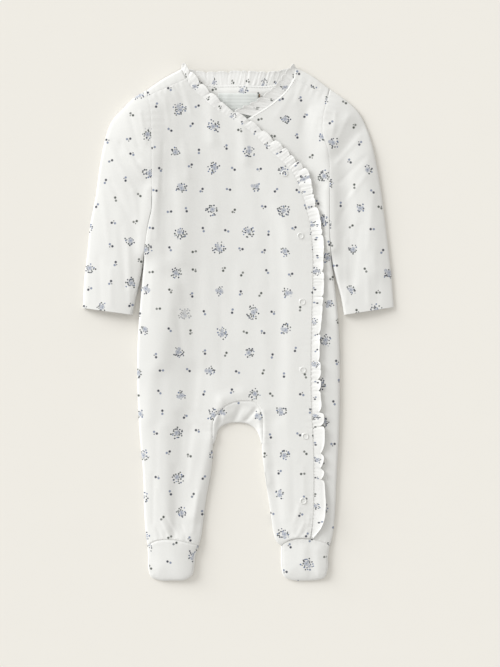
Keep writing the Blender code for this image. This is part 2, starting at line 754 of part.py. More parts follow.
# ---------------------------------------------------------------- fronts

def two_sided(count, width):
    """Distances of columns across a sheet that rounds off at both sides."""
    steps = np.array(EDGE_STEPS)
    middle = np.linspace(steps[-1], width - steps[-1], count - 2 * len(steps) + 2)
    return np.concatenate([steps[:-1], middle, width - steps[-2::-1]])


def torso_bottom(low_right, low_left, right_part, left_part):
    """Lowest row of the torso: straight, over the top of the crotch seam, straight."""
    arch = arch_points()
    return np.concatenate([line(low_right, arch[0], right_part), arch[1:],
                           line(arch[-1], low_left, left_part)[1:]])


def front_over():
    """Upper front: from the shoulder seam and right side to the wrap edge and both ankles."""
    edge, edge_leg = edge_rows("right")
    wrap, wrap_leg = rows_down(CURVE["wrap"], CURVE["wrap"][0, 1], CURVE["wrap"][-1, 1])
    width = arch_points()[0, 0] - edge[-1, 0]
    rounded = np.concatenate([EDGE_STEPS[:-1], np.linspace(EDGE_STEPS[-1], width, PART_COLUMNS)])
    even = np.linspace(0.0, 1.0, PART_COLUMNS)
    bottom = torso_bottom(edge[-1], wrap[-1], rounded / width, even)
    torso = weave(edge, wrap, spread(bottom[:, 0] - bottom[0, 0], start=3), bottom=bottom)
    sheet = Sheet()
    sheet.add(*lay(torso, inward_of(torso), lap(torso)))

    ankle = CURVE["ankle_right"]
    columns = spread(two_sided(len(rounded), width), start=3, end=3)
    leg = weave(edge_leg, inner_rows("right"), columns,
                bottom[:len(rounded)], along(ankle, columns(run_of(ankle)[-1])))
    sheet.add(*lay(leg, inward_of(leg), lap(leg)))

    ankle = CURVE["ankle_left"][::-1]
    ankle = ankle[ankle[:, 0] <= wrap_leg[-1, 0]]
    plain = np.linspace(EDGE_STEPS[-1], INNER_LEG_WIDTH, PART_COLUMNS - 3)
    columns = spread(np.concatenate([EDGE_STEPS[:-1], plain]), start=3)
    leg = weave(inner_rows("left"), wrap_leg,
                columns, bottom[-len(even):], along(ankle, columns(run_of(ankle)[-1])))
    sheet.add(*lay(leg, inward_of(leg), lap(leg)))
    place("front_over", sheet.mesh("front_over"), KNIT)


def front_under():
    """Lower front: from the left side to its edge, which the upper front hides."""
    edge, edge_leg = edge_rows("left")
    hidden, hidden_leg = rows_down(CURVE["under"], CURVE["under"][0, 1], CURVE["under"][-1, 1])
    ankle = CURVE["ankle_left"][::-1]
    ankle = ankle[ankle[:, 0] >= hidden_leg[-1, 0]]
    plain = np.linspace(0.0, UNDER_WIDTH - EDGE_STEPS[-1], PART_COLUMNS - 1)
    columns = spread(np.concatenate([plain, UNDER_WIDTH - np.array(EDGE_STEPS[-2::-1])]), end=3)
    grid = weave(np.vstack([hidden, hidden_leg[1:]]), np.vstack([edge, edge_leg[1:]]),
                 columns, bottom=along(ankle, columns(run_of(ankle)[-1])), reach=LOW_FADE)
    sheet = Sheet()
    sheet.add(*lay(grid, inward_of(grid)))
    place("front_under", sheet.mesh("front_under"), KNIT)


# ---------------------------------------------------------------- back

def shoulder_turn(half, shares):
    """The back's turn over one shoulder: from its lower corner to the forward seam."""
    fold = along(CURVE["fold_" + half], shares)
    seam = along(CURVE["seam_" + half], shares)
    seam = seam - unit(seam - fold) * SEAM
    over = fold[:, None] + (seam - fold)[:, None] * np.array(TURN_SHARES)[None, :, None]
    inward = inward_of(over)
    room = np.full(len(fold), TURN_ROOM)
    corner_outer, corner_inner = turn_under(fold, inward[:, 0], room)
    outer, inner = lay(over, inward)
    return np.hstack([corner_outer.reshape(-1, 1, 3), outer]), \
        np.hstack([corner_inner.reshape(-1, 1, 3), inner])


def neck_line():
    """The back neck as straight runs."""
    return along(CURVE["neck"], np.linspace(0.0, 1.0, NECK_POINTS))


def back_panel():
    """Back: body and both legs flat on the table, turned over at the shoulders."""
    right, right_leg = edge_rows("right")
    left, left_leg = edge_rows("left")
    shoulder = np.linspace(0.0, 1.0, SHOULDER_POINTS)
    top = np.concatenate([along(CURVE["fold_right"][::-1], shoulder), neck_line()[1:],
                          along(CURVE["fold_left"], shoulder)[1:]])
    part = np.linspace(0.0, 1.0, PART_COLUMNS - 1)
    bottom = torso_bottom(right[-1], left[-1], part, part)
    torso = weave(np.vstack([top[:1], right]), np.vstack([top[-1:], left]),
                  spread(bottom[:, 0] - bottom[0, 0]), top, bottom)
    outer, inner = flat_on_table(torso)
    turn_right = shoulder_turn("right", shoulder)
    turn_left = shoulder_turn("left", shoulder)
    for grid, over_right, over_left in ((outer, turn_right[0], turn_left[0]),
                                        (inner, turn_right[1], turn_left[1])):
        grid[0, :len(shoulder)] = over_right[::-1, 0]
        grid[0, -len(shoulder):] = over_left[:, 0]
    sheet = Sheet()
    sheet.add(outer, inner)
    sheet.add(*turn_right)
    sheet.add(*turn_left)
    for leg, edge, first in (("right", right_leg, bottom[:len(part)]),
                             ("left", left_leg, bottom[:-len(part) - 1:-1])):
        sheet.add(*flat_on_table(weave(edge, inner_rows(leg), lambda width: part, first)))
    place("back_panel", sheet.mesh("back_panel"), KNIT)


# ---------------------------------------------------------------- sleeves, gusset, feet

def sleeve_grid(half):
    """Places of the top layer of a sleeve, and the number of its rows that end at the armhole."""
    outer_edge, inner_edge = SLEEVE_EDGES[half][:, :2], SLEEVE_EDGES[half][:, 2:]
    armhole = shifted(armhole_line(half), -SEAM if half == "right" else SEAM)
    open_rows = len(armhole) - 3
    shares = np.concatenate([
        np.linspace(SEAM / run_of(outer_edge)[-1], SLEEVE_SHARE, open_rows, endpoint=False),
        np.linspace(SLEEVE_SHARE, 1.0, SLEEVE_ROWS)])
    outer = along(outer_edge, shares)
    inner = np.vstack([armhole[2:-1], along(inner_edge, np.linspace(0.0, 1.0, SLEEVE_ROWS))])
    columns = spread(two_sided(SLEEVE_COLUMNS, SLEEVE_WIDTH), start=3, end=3)
    cap = np.vstack([outer[:1], armhole[1:3]])
    return weave(outer, inner, columns, along(cap, columns(run_of(cap)[-1]))), open_rows


def sleeve(half):
    """A flat tube: a top layer and a lower layer, joined at both folded edges."""
    grid, open_rows = sleeve_grid(half)
    inward = inward_of(grid)
    top_outer, top_inner = lay(grid, inward)
    room = np.full(len(grid), TURN_ROOM)
    first = turn_under(grid[:, 0], inward[:, 0], room)
    room[:open_rows] = 0.0
    last = turn_under(grid[:, -1], inward[:, -1], room)
    middle = grid[:, 3:-1:2]
    lower_outer = np.hstack([first[0][:, None], at_level(middle, 0.0), last[0][:, None]])
    lower_inner = np.hstack([first[1][:, None], at_level(middle, CLOTH), last[1][:, None]])
    sheet = Sheet()
    sheet.add(top_outer, top_inner)
    sheet.add(lower_outer, lower_inner)
    sheet.add(np.hstack([top_outer[:, :1], lower_outer[:, :1]]),
              np.hstack([top_inner[:, :1], lower_inner[:, :1]]))
    sheet.add(np.hstack([top_outer[open_rows:, -1:], lower_outer[open_rows:, -1:]]),
              np.hstack([top_inner[open_rows:, -1:], lower_inner[open_rows:, -1:]]))
    place("sleeve_" + half, sheet.mesh("sleeve_" + half), KNIT)


def gusset():
    """Crescent of the crotch: from the front seam over the fold to the seam at the back."""
    right, left = inner_rows("right"), inner_rows("left")
    seam = np.vstack([right[2:0:-1], arch_points(), left[1:3]])
    run = run_of(seam)
    seam = shifted(seam, -SEAM)
    fold = along(CURVE["crotch_fold"], GUSSET_START + (1.0 - 2 * GUSSET_START) * run / run[-1])
    inward = unit(seam - fold)
    room = np.linalg.norm(seam - fold, axis=1)
    over = fold[:, None] + (seam - fold)[:, None] * np.array(GUSSET_COLUMNS)[None, ::-1, None]
    top_outer, top_inner = lay(over, np.broadcast_to(inward[:, None], over.shape))
    corner = turn_under(fold, inward, room)
    lower = fold[:, None] + (seam - fold)[:, None] * np.array([0.7, 1.0])[None, :, None]
    sheet = Sheet()
    sheet.add(np.hstack([top_outer, corner[0].reshape(-1, 1, 3), at_level(lower, 0.0)]),
              np.hstack([top_inner, corner[1].reshape(-1, 1, 3), at_level(lower, CLOTH)]))
    place("gusset", sheet.mesh("gusset"), KNIT)


def foot_parts(half, inset):
    """Outer side, toe and inner side of a foot's outline, drawn in by the inset."""
    table = FOOT_RIGHT if half == "right" else FOOT_LEFT
    outline = CURVE["foot_" + half]
    corners = [(p.x, p.y) for p in table if p.place in ("outer corner", "inner corner")]
    first, last = (np.argmin(np.linalg.norm(outline - corner, axis=1)) for corner in corners)
    outline = shifted(outline, inset if half == "right" else -inset)
    return outline[:first + 1], outline[first:last + 1], outline[last:]


def foot_grid(half, inset, top=None):
    """A grid over a foot, between its sides and its toe; a given top row replaces the heel."""
    outer, toe, inner = foot_parts(half, inset)
    even = np.linspace(0.0, 1.0, FOOT_COLUMNS)
    rows = np.linspace(0.0, 1.0, FOOT_ROWS)
    if top is not None:
        outer = np.vstack([top[:1], outer[outer[:, 1] < top[0, 1] - 1.0]])
        inner = np.vstack([inner[inner[:, 1] < top[-1, 1] - 1.0], top[-1:]])
    return weave(along(outer, rows), along(inner[::-1], rows), lambda width: even,
                 top, along(toe, even), reach=FOOT_FADE)


def foot(half):
    """Sole and foot top: the sole turns up round the toes to the seam with the top."""
    edge = foot_grid(half, 0.0)
    plate_outer, plate_inner = (foot_grid(half, inset) for inset in (CORNER, CLOTH + TURN_WALL))
    for plate in (plate_outer, plate_inner):
        plate[..., 1] = np.minimum(plate[..., 1], edge[0, 0, 1])
    rim = np.concatenate([edge[:, 0], edge[-1, 1:-1], edge[::-1, -1]])
    rim_plate_outer = np.concatenate([plate_outer[:, 0], plate_outer[-1, 1:-1],
                                      plate_outer[::-1, -1]])
    rim_plate_inner = np.concatenate([plate_inner[:, 0], plate_inner[-1, 1:-1],
                                      plate_inner[::-1, -1]])
    inward = unit(rim_plate_inner - rim)
    ankle = CURVE["ankle_" + half]
    inward[0] = unit(along(ankle, [0.05])[0] - ankle[0])
    inward[-1] = unit(along(ankle, [0.95])[0] - ankle[-1])
    turns = np.array([0.0, 0.4, 1.0]) * SOLE_TURN
    over = rim[:, None] + inward[:, None] * turns[None, :, None]
    outer, inner = lay(over, np.broadcast_to(inward[:, None], over.shape))
    sheet = Sheet()
    sheet.add(at_level(plate_outer, 0.0), at_level(plate_inner, CLOTH))
    sheet.add(np.hstack([at_level(rim_plate_outer[:, None], 0.0), outer]),
              np.hstack([at_level(rim_plate_inner[:, None], CLOTH), inner]))
    place("sole_" + half, sheet.mesh("sole_" + half), KNIT)

    seam = shifted(ankle, -SEAM if half == "right" else SEAM)
    inset = SOLE_TURN + SEAM
    places_across = two_sided(FOOT_COLUMNS + 4, run_of(seam)[-1])[2:-2]
    places_across[[0, -1]] = inset, run_of(seam)[-1] - inset
    grid = foot_grid(half, inset, along(seam, places_across / run_of(seam)[-1]))
    sheet = Sheet()
    sheet.add(*lay(grid, inward_of(grid)))
    place("vamp_" + half, sheet.mesh("vamp_" + half), KNIT)


# ---------------------------------------------------------------- frills, snaps, label

def frill(name, seam, free, tucks, level, calm=(False, False)):
    """A gathered strip: low at each tuck, a lobe between two tucks, highest at its free edge.

    Each tuck is a share of the seam, a share of the free edge and a depth.  The lobe is the
    sine of the way between two tucks, less where a tuck is shallow; the height grows from
    the seam as a power of the way across, and the free edge draws in at each tuck.
    """
    seam_shares, free_shares, depths = np.transpose(tucks)
    lobes = len(depths) - 1
    at = np.linspace(0.0, lobes, lobes * FRILL_STEPS + 1)
    number = np.arange(lobes + 1)
    depth = depths[np.round(at).astype(int)]
    lobe = 1.0 - depth * (1.0 - np.abs(np.sin(np.pi * at)) ** FRILL_ROUND)
    uneven = 1.0 + FRILL_UNEVEN * np.sin(LOBE_TURN * at)
    seam = along(seam, np.interp(at, number, seam_shares))
    free = along(free, np.interp(at, number, free_shares))
    run = run_of(seam)
    rise = np.ones(len(at))
    for distance, flat in zip((run, run[-1] - run), calm):
        if flat:
            rise *= smooth_step(distance / FRILL_CALM)
    across = np.array([0.0, 0.5, 1.0])[None, :, None]
    drawn = 1.0 - FRILL_SCALLOP * (1.0 - lobe)[:, None, None] * across
    grid = seam[:, None] + (free - seam)[:, None] * across * drawn
    lift = (FRILL_LOW + FRILL_LIFT * lobe * uneven) * rise
    height = level(grid) + 0.5 * CLOTH + lift[:, None] * across[..., 0] ** FRILL_CURL
    middle = np.dstack([grid, height])
    normal = unit(np.cross(np.gradient(middle, axis=0), np.gradient(middle, axis=1)))
    normal *= np.sign(normal[..., 2:])
    sheet = Sheet()
    sheet.add(middle + 0.5 * CLOTH * normal, middle - 0.5 * CLOTH * normal)
    place(name, sheet.mesh(name), FRILL_KNIT)


def wrap_level(grid):
    """Underside of the upper front, carried on past its edge."""
    return lay(grid, np.zeros_like(grid), lap(grid))[1][..., 2]


def under_level(grid):
    """Underside of the lower front, carried on past its edge."""
    return lay(grid, np.zeros_like(grid))[1][..., 2]


def table_level(grid):
    """Just above the table."""
    return np.full(grid.shape[:-1], 0.1)


def even_run(points, step=2.0):
    """The same straight runs, with a point at every step."""
    return along(points, np.linspace(0.0, 1.0, int(run_of(points)[-1] / step)))


def frill_seam(name, shoulder):
    """Where a front frill is sewn: over the shoulder, then beside the front's own edge."""
    curve = CURVE[name]
    rows, leg = rows_down(curve, curve[0, 1], curve[-1, 1])
    way = FRILL_OFFSET if name == "wrap" else -FRILL_OFFSET
    return shifted(even_run(np.vstack([shoulder, rows, leg[1:]])), way)


def share_at(curve, heights):
    """Shares of a falling curve's length at the given heights."""
    return np.interp(-np.array(heights), -curve[:, 1], run_of(curve) / run_of(curve)[-1])


def frills():
    """The three gathered strips of the neck and wrap edges."""
    seam = frill_seam("wrap", line(CURVE["fold_right"][0], CURVE["wrap"][0], [0.05, 0.35, 0.65]))
    free = CURVE["frill_wrap_free"]
    tucks = np.transpose([share_at(seam, [tuck.seam_y for tuck in WRAP_TUCKS]),
                          share_at(free, [tuck.free_y for tuck in WRAP_TUCKS]),
                          [tuck.depth for tuck in WRAP_TUCKS]])
    tucks = np.vstack([(0.0, 0.0, 1.0), tucks, (1.0, 1.0, 1.0)])
    frill("frill_wrap", seam, free, tucks, wrap_level)
    under = frill_seam("under", line(CURVE["fold_left"][0], CURVE["under"][0], [0.05, 0.5]))
    frill("frill_under", under[under[:, 1] > UNDER_FRILL_LOW], CURVE["frill_under_free"],
          [(share, share, 1.0) for share in UNDER_TUCKS], under_level, (False, True))
    back = shifted(even_run(neck_line()), FRILL_OFFSET)
    frill("frill_back", back[np.abs(back[:, 0]) < BACK_FRILL_HALF], CURVE["frill_back_free"],
          [(share, share, 1.0) for share in BACK_TUCKS], table_level, (True, True))


def snaps():
    """Ring caps, each turned round its own upright axis, just above the upper front."""
    turn = np.linspace(0.0, 2 * np.pi, SNAP_SIDES, endpoint=False)
    profile = ((SNAP_INNER, 0.0), (SNAP_INNER, SNAP_HEIGHT - SNAP_BEVEL),
               (SNAP_INNER + SNAP_BEVEL, SNAP_HEIGHT), (SNAP_OUTER - SNAP_BEVEL, SNAP_HEIGHT),
               (SNAP_OUTER, SNAP_HEIGHT - SNAP_BEVEL), (SNAP_OUTER, 0.0))
    circle = np.stack([np.cos(turn), np.sin(turn)], axis=1)
    for snap in SNAPS:
        reach = np.array([0.0, SNAP_OUTER])[:, None, None]
        under = np.array([snap.x, snap.y]) + circle[None] * reach
        seat = lay(under, np.zeros_like(under), lap(under))[0][..., 2].max() + SEAM
        points = [(snap.x + r * c, snap.y + r * s, seat + h) for r, h in profile for c, s in circle]
        faces = []
        for ring in range(len(profile)):
            low, high = ring * SNAP_SIDES, (ring + 1) % len(profile) * SNAP_SIDES
            for i in range(SNAP_SIDES):
                j = (i + 1) % SNAP_SIDES
                faces.append((low + i, low + j, high + j, high + i))
        place(snap.name, closed_mesh(snap.name, points, faces), SNAP_ENAMEL)


def label():
    """Plain woven label on the inside of the back, under the neck."""
    half, height = 0.5 * LABEL[0], LABEL[1]
    corners = weave(np.array([(-half, LABEL_TOP), (-half, LABEL_TOP - height)]),
                    np.array([(half, LABEL_TOP), (half, LABEL_TOP - height)]),
                    lambda width: np.linspace(0.0, 1.0, 5))
    sheet = Sheet()
    low = CLOTH + SEAM
    sheet.add(at_level(corners, low + LABEL_THICK), at_level(corners, low))
    place("label", sheet.mesh("label"), LABEL_TAPE)


# ---------------------------------------------------------------- the suit

def main():
    """Clear the scene and make every piece."""
    for item in list(bpy.data.objects):
        bpy.data.objects.remove(item, do_unlink=True)
    back_panel()
    front_under()
    front_over()
    for half in ("right", "left"):
        sleeve(half)
        foot(half)
    gusset()
    frills()
    snaps()
    label()


main()
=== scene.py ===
"""Footed baby sleepsuit, dressed: fine cloth, printed sprigs, frills, sewing, snaps and label.

All tables are in millimetres: x across, y up the body, z up from the table.  "Right" and
"left" are the wearer's.  The suit is sewn from sheets that all read one relief, so they lie
on each other and meet at their seams.
"""
import math

import bmesh
import bpy
import numpy as np
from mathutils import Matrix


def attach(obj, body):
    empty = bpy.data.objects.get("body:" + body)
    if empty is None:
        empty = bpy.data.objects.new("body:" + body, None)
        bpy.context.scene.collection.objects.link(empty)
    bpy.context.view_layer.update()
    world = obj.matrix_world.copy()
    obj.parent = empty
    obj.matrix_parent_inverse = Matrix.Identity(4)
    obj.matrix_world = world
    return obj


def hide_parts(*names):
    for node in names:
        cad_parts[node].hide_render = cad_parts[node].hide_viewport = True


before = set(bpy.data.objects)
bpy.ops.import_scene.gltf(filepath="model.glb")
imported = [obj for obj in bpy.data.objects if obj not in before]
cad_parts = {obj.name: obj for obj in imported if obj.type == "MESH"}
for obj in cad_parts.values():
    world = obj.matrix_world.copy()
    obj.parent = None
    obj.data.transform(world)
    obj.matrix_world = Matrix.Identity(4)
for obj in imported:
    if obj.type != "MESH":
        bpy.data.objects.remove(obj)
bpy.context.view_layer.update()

bl_info = {
    "name": "Footed sleepsuit",
    "version": (1, 0, 0),
    "blender": (4, 5, 0),
    "location": "3D View > Sidebar > Sleepsuit",
    "description": "Sews the cloth, frills, snaps and label of a footed baby sleepsuit",
    "category": "Object",
}

MM = 0.001
# the layers of cloth
BASE = 1.8                  # height of a folded or side-seamed edge above the table
CROWN = 1.2                 # rise of the top layer over a rounded edge
ROLL = 2.6                  # width over which the edge rounds off
PUFF = (3.4, 12.5)          # further slow rise away from the edge, and how far it takes
PRESSED_SHARE = 0.95        # of the cloth's height, for two edges that press together
BACK_ROLL = 4.0             # the layer on the table curls up at its edge over this width
BACK_SOFT = 0.25            # height of its soft waves
BACK_TOP = 0.9              # height of its upper face over its level
LAP_RISE = 1.3              # how far the upper front is raised over the lower one
LAP_RAMP = (17.0, 1.0)      # it climbs between these distances from the hidden edge,
LAP_BROAD = 34.0            # and over this much more across the chest,
LAP_CHEST = (130.0, 50.0)   # which begins at this height and is whole this much higher
LAP_SETTLE = 11.0           # it comes down again this near a folded edge
FADE = (5.0, 6.0)           # creases fade out this near a folded edge, in front and behind
GROOVE = 0.9                # reach of the groove along a seam
LIP = (0.3, 2.6, 1.5)       # its raised lip: share of the depth, distance away, reach
PUCKERS = (2.0, 6.0)        # puckers beside it grow over the first and fade over the second
# soft waves: width across, length down, seed
WAVES = {"broad": (22.0, 110.0, 4), "small": (9.0, 40.0, 5), "back": (24.0, 90.0, 8),
         "label": (14.0, 9.0, 11)}
# small waves along a run: length, how far they stray, and the pace of the straying
WAVERS = {"pucker": (6.5, 2.0, 11.0), "gather": (4.6, 2.3, 7.0), "ripple": (5.3, 1.7, 11.0),
          "crimp": (3.1, 2.0, 5.0)}
# the grids of the sheets
PITCH = 2.2                 # spacing of a grid
BACK_PITCH = 3.2            # the same on the back
NEAR = np.array((0.0, 0.35, 0.8, 1.4, 2.2, 3.2, 4.5, 6.1))    # closer lines beside an edge
# usual lengths and widths, by which the grids are divided
SPAN = {"torso": 372.0, "leg": 155.0, "lower_front": 56.0, "shoulder": 12.5, "arm": 170.0,
        "sleeve": 60.0, "gusset": 30.0, "foot_across": 54.0, "foot_down": 40.0}
SHOULDER_LINES, ARCH_LINES = 22, 27    # lines along a shoulder and over the crotch seam's top
SHARP = (50.0, 40.0)        # edges of cloth and of small solids are sharp above this angle
TORSO_BOTTOM = -102.0       # here the rows of the torso end and those of the legs begin
HEEL = -257.0               # here the legs end and the feet begin
SOLE_TURN = 1.8             # the sole shows this much round the foot
SOLE_LINES = (0.0, 0.3, 0.8, 1.5, 2.1, 2.8)    # spacing of the grid's lines across that
SLEEVE_SHARE = 0.43         # of the sleeve's outer edge, to the place opposite the underarm
SIGN = {"right": 1.0, "left": -1.0}    # a mirrored measure changes its sign
# the frills
FRILL_INSET = 0.5           # a frill's seam lies this far inside its panel's edge
FRILL_SUNK = 0.15           # and this far below the top of its panel
FRILL_STEPS = 14            # steps of the grid on one lobe
FRILL_LINES = np.array((0.0, 0.06, 0.14, 0.25, 0.38, 0.52, 0.66, 0.8, 0.9, 0.96, 1.0))
FRILL_LOW = 0.4             # height of its free edge at a tuck
FRILL_TALL = ((0.22, 2.4, 0.0), (0.12, 5.1, 1.0))    # its slow sines: share, pace, start
FRILL_GATHER = (3.2, 0.12)  # across it, how fast gathers die away and where they are whole
FRILL_RIPPLE = 0.45         # height of the ripples as a share of the gathers'
FRILL_LEAN = 0.72           # power by which a lobe leans to the tuck before it
FRILL_POWERS = (1.5, 1.6)   # of the rise across the frill, and of the taper along a lobe
FRILL_ROLLED = (0.35, 0.86, 0.12)    # the rolled edge: height, share where it starts, width
FRILL_CRIMPED = (230.0, 120.0, 0.75)    # from this run, over this much, ripples lose a share
FRILL_TAPERED = (370.0, 80.0, 0.75)     # from this run, over this much, the taper gains one
FRILL_CALM = 16.0           # a hidden end lies flat, and rises over this run
FRILL_FULL = 1.5            # a frill's print runs on this much faster than its seam
TUCK_POWER = 0.8            # power that is taken of the wrap's tuck depths
UNDER_FRILL_LOW = 235.6     # height of the lower end of the lower front's frill
BACK_FRILL_HALF = 54.0      # half the width of the back neck's frill
BACK_FRILL_SEAT = 0.7       # height of its seam over the back's level
# snaps, label and sewing
SNAP_RING = (4.1, 2.6, 0.7)    # outer and inner radius, height
SNAP_LIP = (0.5, 0.25)      # width of the lip outside the bead, height where the bead begins
SNAP_SUNK = 0.15            # how far a cap sits in the cloth
LABEL = (46.0, 28.0, 262.9)    # width, height, top edge
LABEL_SEAT = 0.45           # height over the back's upper face
LABEL_CURL = (0.5, 4.0)     # its lower corners curl up by this, over this much of its width
LABEL_WALL = 0.0004         # its thickness, in metres
WRAP_SEAM_TOP = 96.0        # below this the wrap seam is stitched down flat
SEWN_ASIDE = 1.5            # rows of stitches lie this far beside their seam,
CURVED_ASIDE = 1.6          # and this far at the neck and the crotch
NECK_SEWN_HALF = 50.0       # half the width of the row at the neck
THREAD_SEAT = 0.12          # height of a thread's middle over the cloth
LABEL_BAR = ((24.6, 262.4), (24.6, 256.6))    # ends of the bar of stitches on the label
LABEL_BAR_SEAT = 2.0        # its height over the back's level
# where each piece is cut from the printed cloth, x and y
CUT = {"lower_front": (37.0, 11.0), "back": (300.0, 5.0), "sleeve_right": (610.0, 40.0),
       "sleeve_left": (905.0, 23.0), "gusset": (1210.0, 52.0), "foot_right": (1400.0, 14.0),
       "foot_left": (1600.0, 33.0), "frill": (2000.0, 7.0)}
# the other y of what lies under or beside that piece, and the turns, in radians
CUT_LOWER = {"sleeve": 400.0, "gusset": 252.0, "vamp": 90.0, "sole": 200.0}
CUT_TURN = {"sleeve": 0.16, "gusset": 0.4, "vamp": 0.3}
PRINT_SEED, FRILL_SEED = 3.0, 9.0    # of the print's random numbers
# the print's motifs: how far rows slide, shares of posies, of single blooms and of sprigs
# with a third leaf, a posy's least radius and how much more, spacing of specks and petals,
# how far a bloom strays, and how far a second leaf lies aside
MOTIFS = {"slide": 0.4, "posies": 0.95, "single": 0.5, "third_leaf": 0.45, "posy": 5.4,
          "posy_more": 2.6, "specks": 2.3, "petals": 1.7, "stray": 3.0, "apart": 1.2}
# spots of the print: radius, and softness of the rim
SPOTS = {"speck": (0.7, 0.2), "petal": (0.6, 0.35), "bloom": (2.9, 0.6),
         "small_bloom": (2.1, 0.5), "core": (1.1, 0.6), "first_leaf": (1.45, 0.45),
         "second_leaf": (1.35, 0.45), "third_leaf": (0.7, 0.4), "stem": (1.0, 0.5)}
# the stage
FLOOR_HALF = 9.0            # half the floor's width, in metres
CAMERA_PLACE = (0.0135, -0.013)    # x and y of the camera, in metres
CAMERA_LENS = (85.0, 36.0)  # focal length and width of the sensor, in millimetres

# body, and insides of the legs: height, right edge, left edge
BODY = (
    (152, -98.6, 104.6), (130, -99.2, 104.8), (110, -103.6, 104.6), (80, -107.8, 106.3),
    (40, -111.6, 111.4), (-5, -115.1, 115.6), (-70, -116.4, 117), (-123, -114.1, 116.2),
    (-177, -109.5, 113.4), (-222, -108.2, 111.2), (-246, -106.2, 108.6), (-257, -104.6, 105.5))
INSEAM = (
    (-142.4, -29, 27.3), (-155, -29.4, 27.9), (-167, -30.6, 29.4), (-180, -32.7, 31.2),
    (-205, -37.2, 34.9), (-228, -40.1, 38.4), (-244, -42, 40.9), (-251, -43.4, 43.4),
    (-254.5, -44.4, 45.8), (-257, -45.4, 49.2))
# sleeves: outer edge x, y, underarm edge x, y
SLEEVES = {
    "right": (
        (-104.9, 267, -98.8, 151.8), (-118.7, 259, -99.1, 141), (-132, 246.5, -99.5, 130),
        (-146.4, 230, -103.5, 112), (-153.6, 209, -105.4, 99), (-159.4, 180, -107, 88),
        (-164.2, 145, -108.5, 76), (-170.2, 114, -109.8, 64), (-173.6, 82, -113.4, 45),
        (-177.4, 48, -118, 26), (-179.1, 16.3, -121.6, 8.3)),
    "left": (
        (105.3, 268.4, 104.8, 151.8), (122.3, 256.7, 104.9, 141), (138, 242.2, 105, 131),
        (148.1, 222.5, 104.9, 119), (154.4, 203.3, 104.9, 106), (159.6, 178.7, 105.8, 92),
        (164.6, 149, 106.8, 78), (169, 116, 109.1, 63), (172.8, 84, 113.6, 45),
        (176.6, 50, 118.2, 28), (179.1, 17.4, 121.6, 8.3))}
# seams, and edges of panels and frills: x, y
LINES = {
    "armhole_right": (
        (-104.9, 267), (-103.8, 259), (-101.5, 249.8), (-99.8, 226.8), (-99.2, 198), (-98.6, 152)),
    "armhole_left": (
        (105.3, 268.4), (103.4, 260), (100.9, 250.9), (96.8, 230.2), (97.5, 213), (100.9, 204.9),
        (103.8, 192.3), (104.6, 152)),
    "fold_right": ((-65.5, 291.5), (-87.7, 279), (-104.9, 267)),
    "fold_left": ((66, 293.4), (84.8, 283.4), (105.3, 268.4)),
    "seam_right": ((-59.4, 279.6), (-103.8, 259)),
    "seam_left": ((63.6, 280.2), (103.4, 260)),
    "neck": (
        (-65.5, 291.5), (-58.5, 280), (-44, 274.6), (0, 272.6), (46, 274.8), (60, 281),
        (66, 293.4)),
    "wrap": (
        (-59.4, 279.6), (-52.5, 267.8), (-40.6, 257.6), (-29.6, 247.4), (-8.8, 235.1),
        (10.4, 221.8), (39.5, 194.4), (63.6, 170.2), (73.4, 147), (82.6, 111.6), (86.2, 76),
        (86, 40), (84.8, -1), (84.8, -98.7), (86.7, -140), (87.4, -196), (85.6, -235.5),
        (84, -248.4)),
    "under": (
        (63.6, 280.2), (56, 267.6), (38.8, 251.6), (12.4, 234.6), (-1, 226), (-3.4, 217),
        (14, 188), (42.3, 148), (57, 112), (60, 76), (60, -100), (61, -210), (62.5, -248.6)),
    "crotch_seam": (
        (-29.4, -141), (-29.6, -132), (-27.6, -111), (-21.6, -102.4), (-7.6, -93), (5.9, -90.8),
        (19, -92.4), (26.2, -101.4), (28.4, -118), (28.4, -132), (27.7, -140)),
    "crotch_fold": (
        (-29, -142.4), (-26.2, -135.5), (-22, -122.4), (-15, -117.6), (0, -115.5), (12, -117.6),
        (20.4, -123.7), (24.6, -133), (27.3, -142.4)),
    "foot_right": (
        (-104.5, -258), (-103.9, -270), (-103.7, -284), (-100.6, -293), (-90, -297.2),
        (-76, -297.4), (-61, -296.4), (-52.8, -291), (-50.4, -280), (-49.2, -268),
        (-45.4, -257.6)),
    "foot_left": (
        (105.5, -257.6), (103.5, -269), (103.4, -283), (99.4, -293.6), (88, -297), (76, -297.4),
        (62, -296.9), (52.6, -292.8), (49.4, -282), (49, -268), (49.2, -257.6)),
    "ankle_right": ((-104.6, -257), (-97, -252.4), (-77.6, -250), (-61, -252.6), (-45.4, -257)),
    "ankle_left": ((105.5, -257), (95.6, -252.4), (77.6, -248.2), (59, -250.2), (49.2, -257)),
    "frill_wrap_free": (
        (-64.6, 296.6), (-62.2, 297.4), (-58, 292.8), (-53, 287.5), (-46.7, 281.5),
        (-42.1, 275.3), (-37.3, 270.7), (-32.3, 265.9), (-22.8, 257.4), (-8.8, 244.7),
        (0.9, 239.9), (11.2, 233.9), (28.5, 221), (39.7, 211.8), (52.2, 202.6), (64.6, 188.8),
        (74, 181), (81.1, 172.7), (84.8, 156.6), (89, 137.1), (92.6, 126.7), (95.4, 110.6),
        (98.2, 92.2), (97.9, 69.2), (98.6, 42.8), (97, 16.3), (95.2, -4.4), (93.6, -36.6),
        (95.2, -57.3), (94.7, -84.9), (98.2, -105.6), (99.5, -128.6), (98.8, -160.8),
        (99.5, -186.1), (99.5, -226.3), (95.9, -237.8), (90.6, -244.7), (86.9, -247.7)),
    "frill_under_free": ((64, 297.6), (54.4, 288), (43.4, 273.4), (24.6, 257.6), (-7.6, 241.8)),
    "frill_back_free": ((-58, 292), (-47, 289.4), (0, 289.6), (50, 290.6), (62, 294.2))}
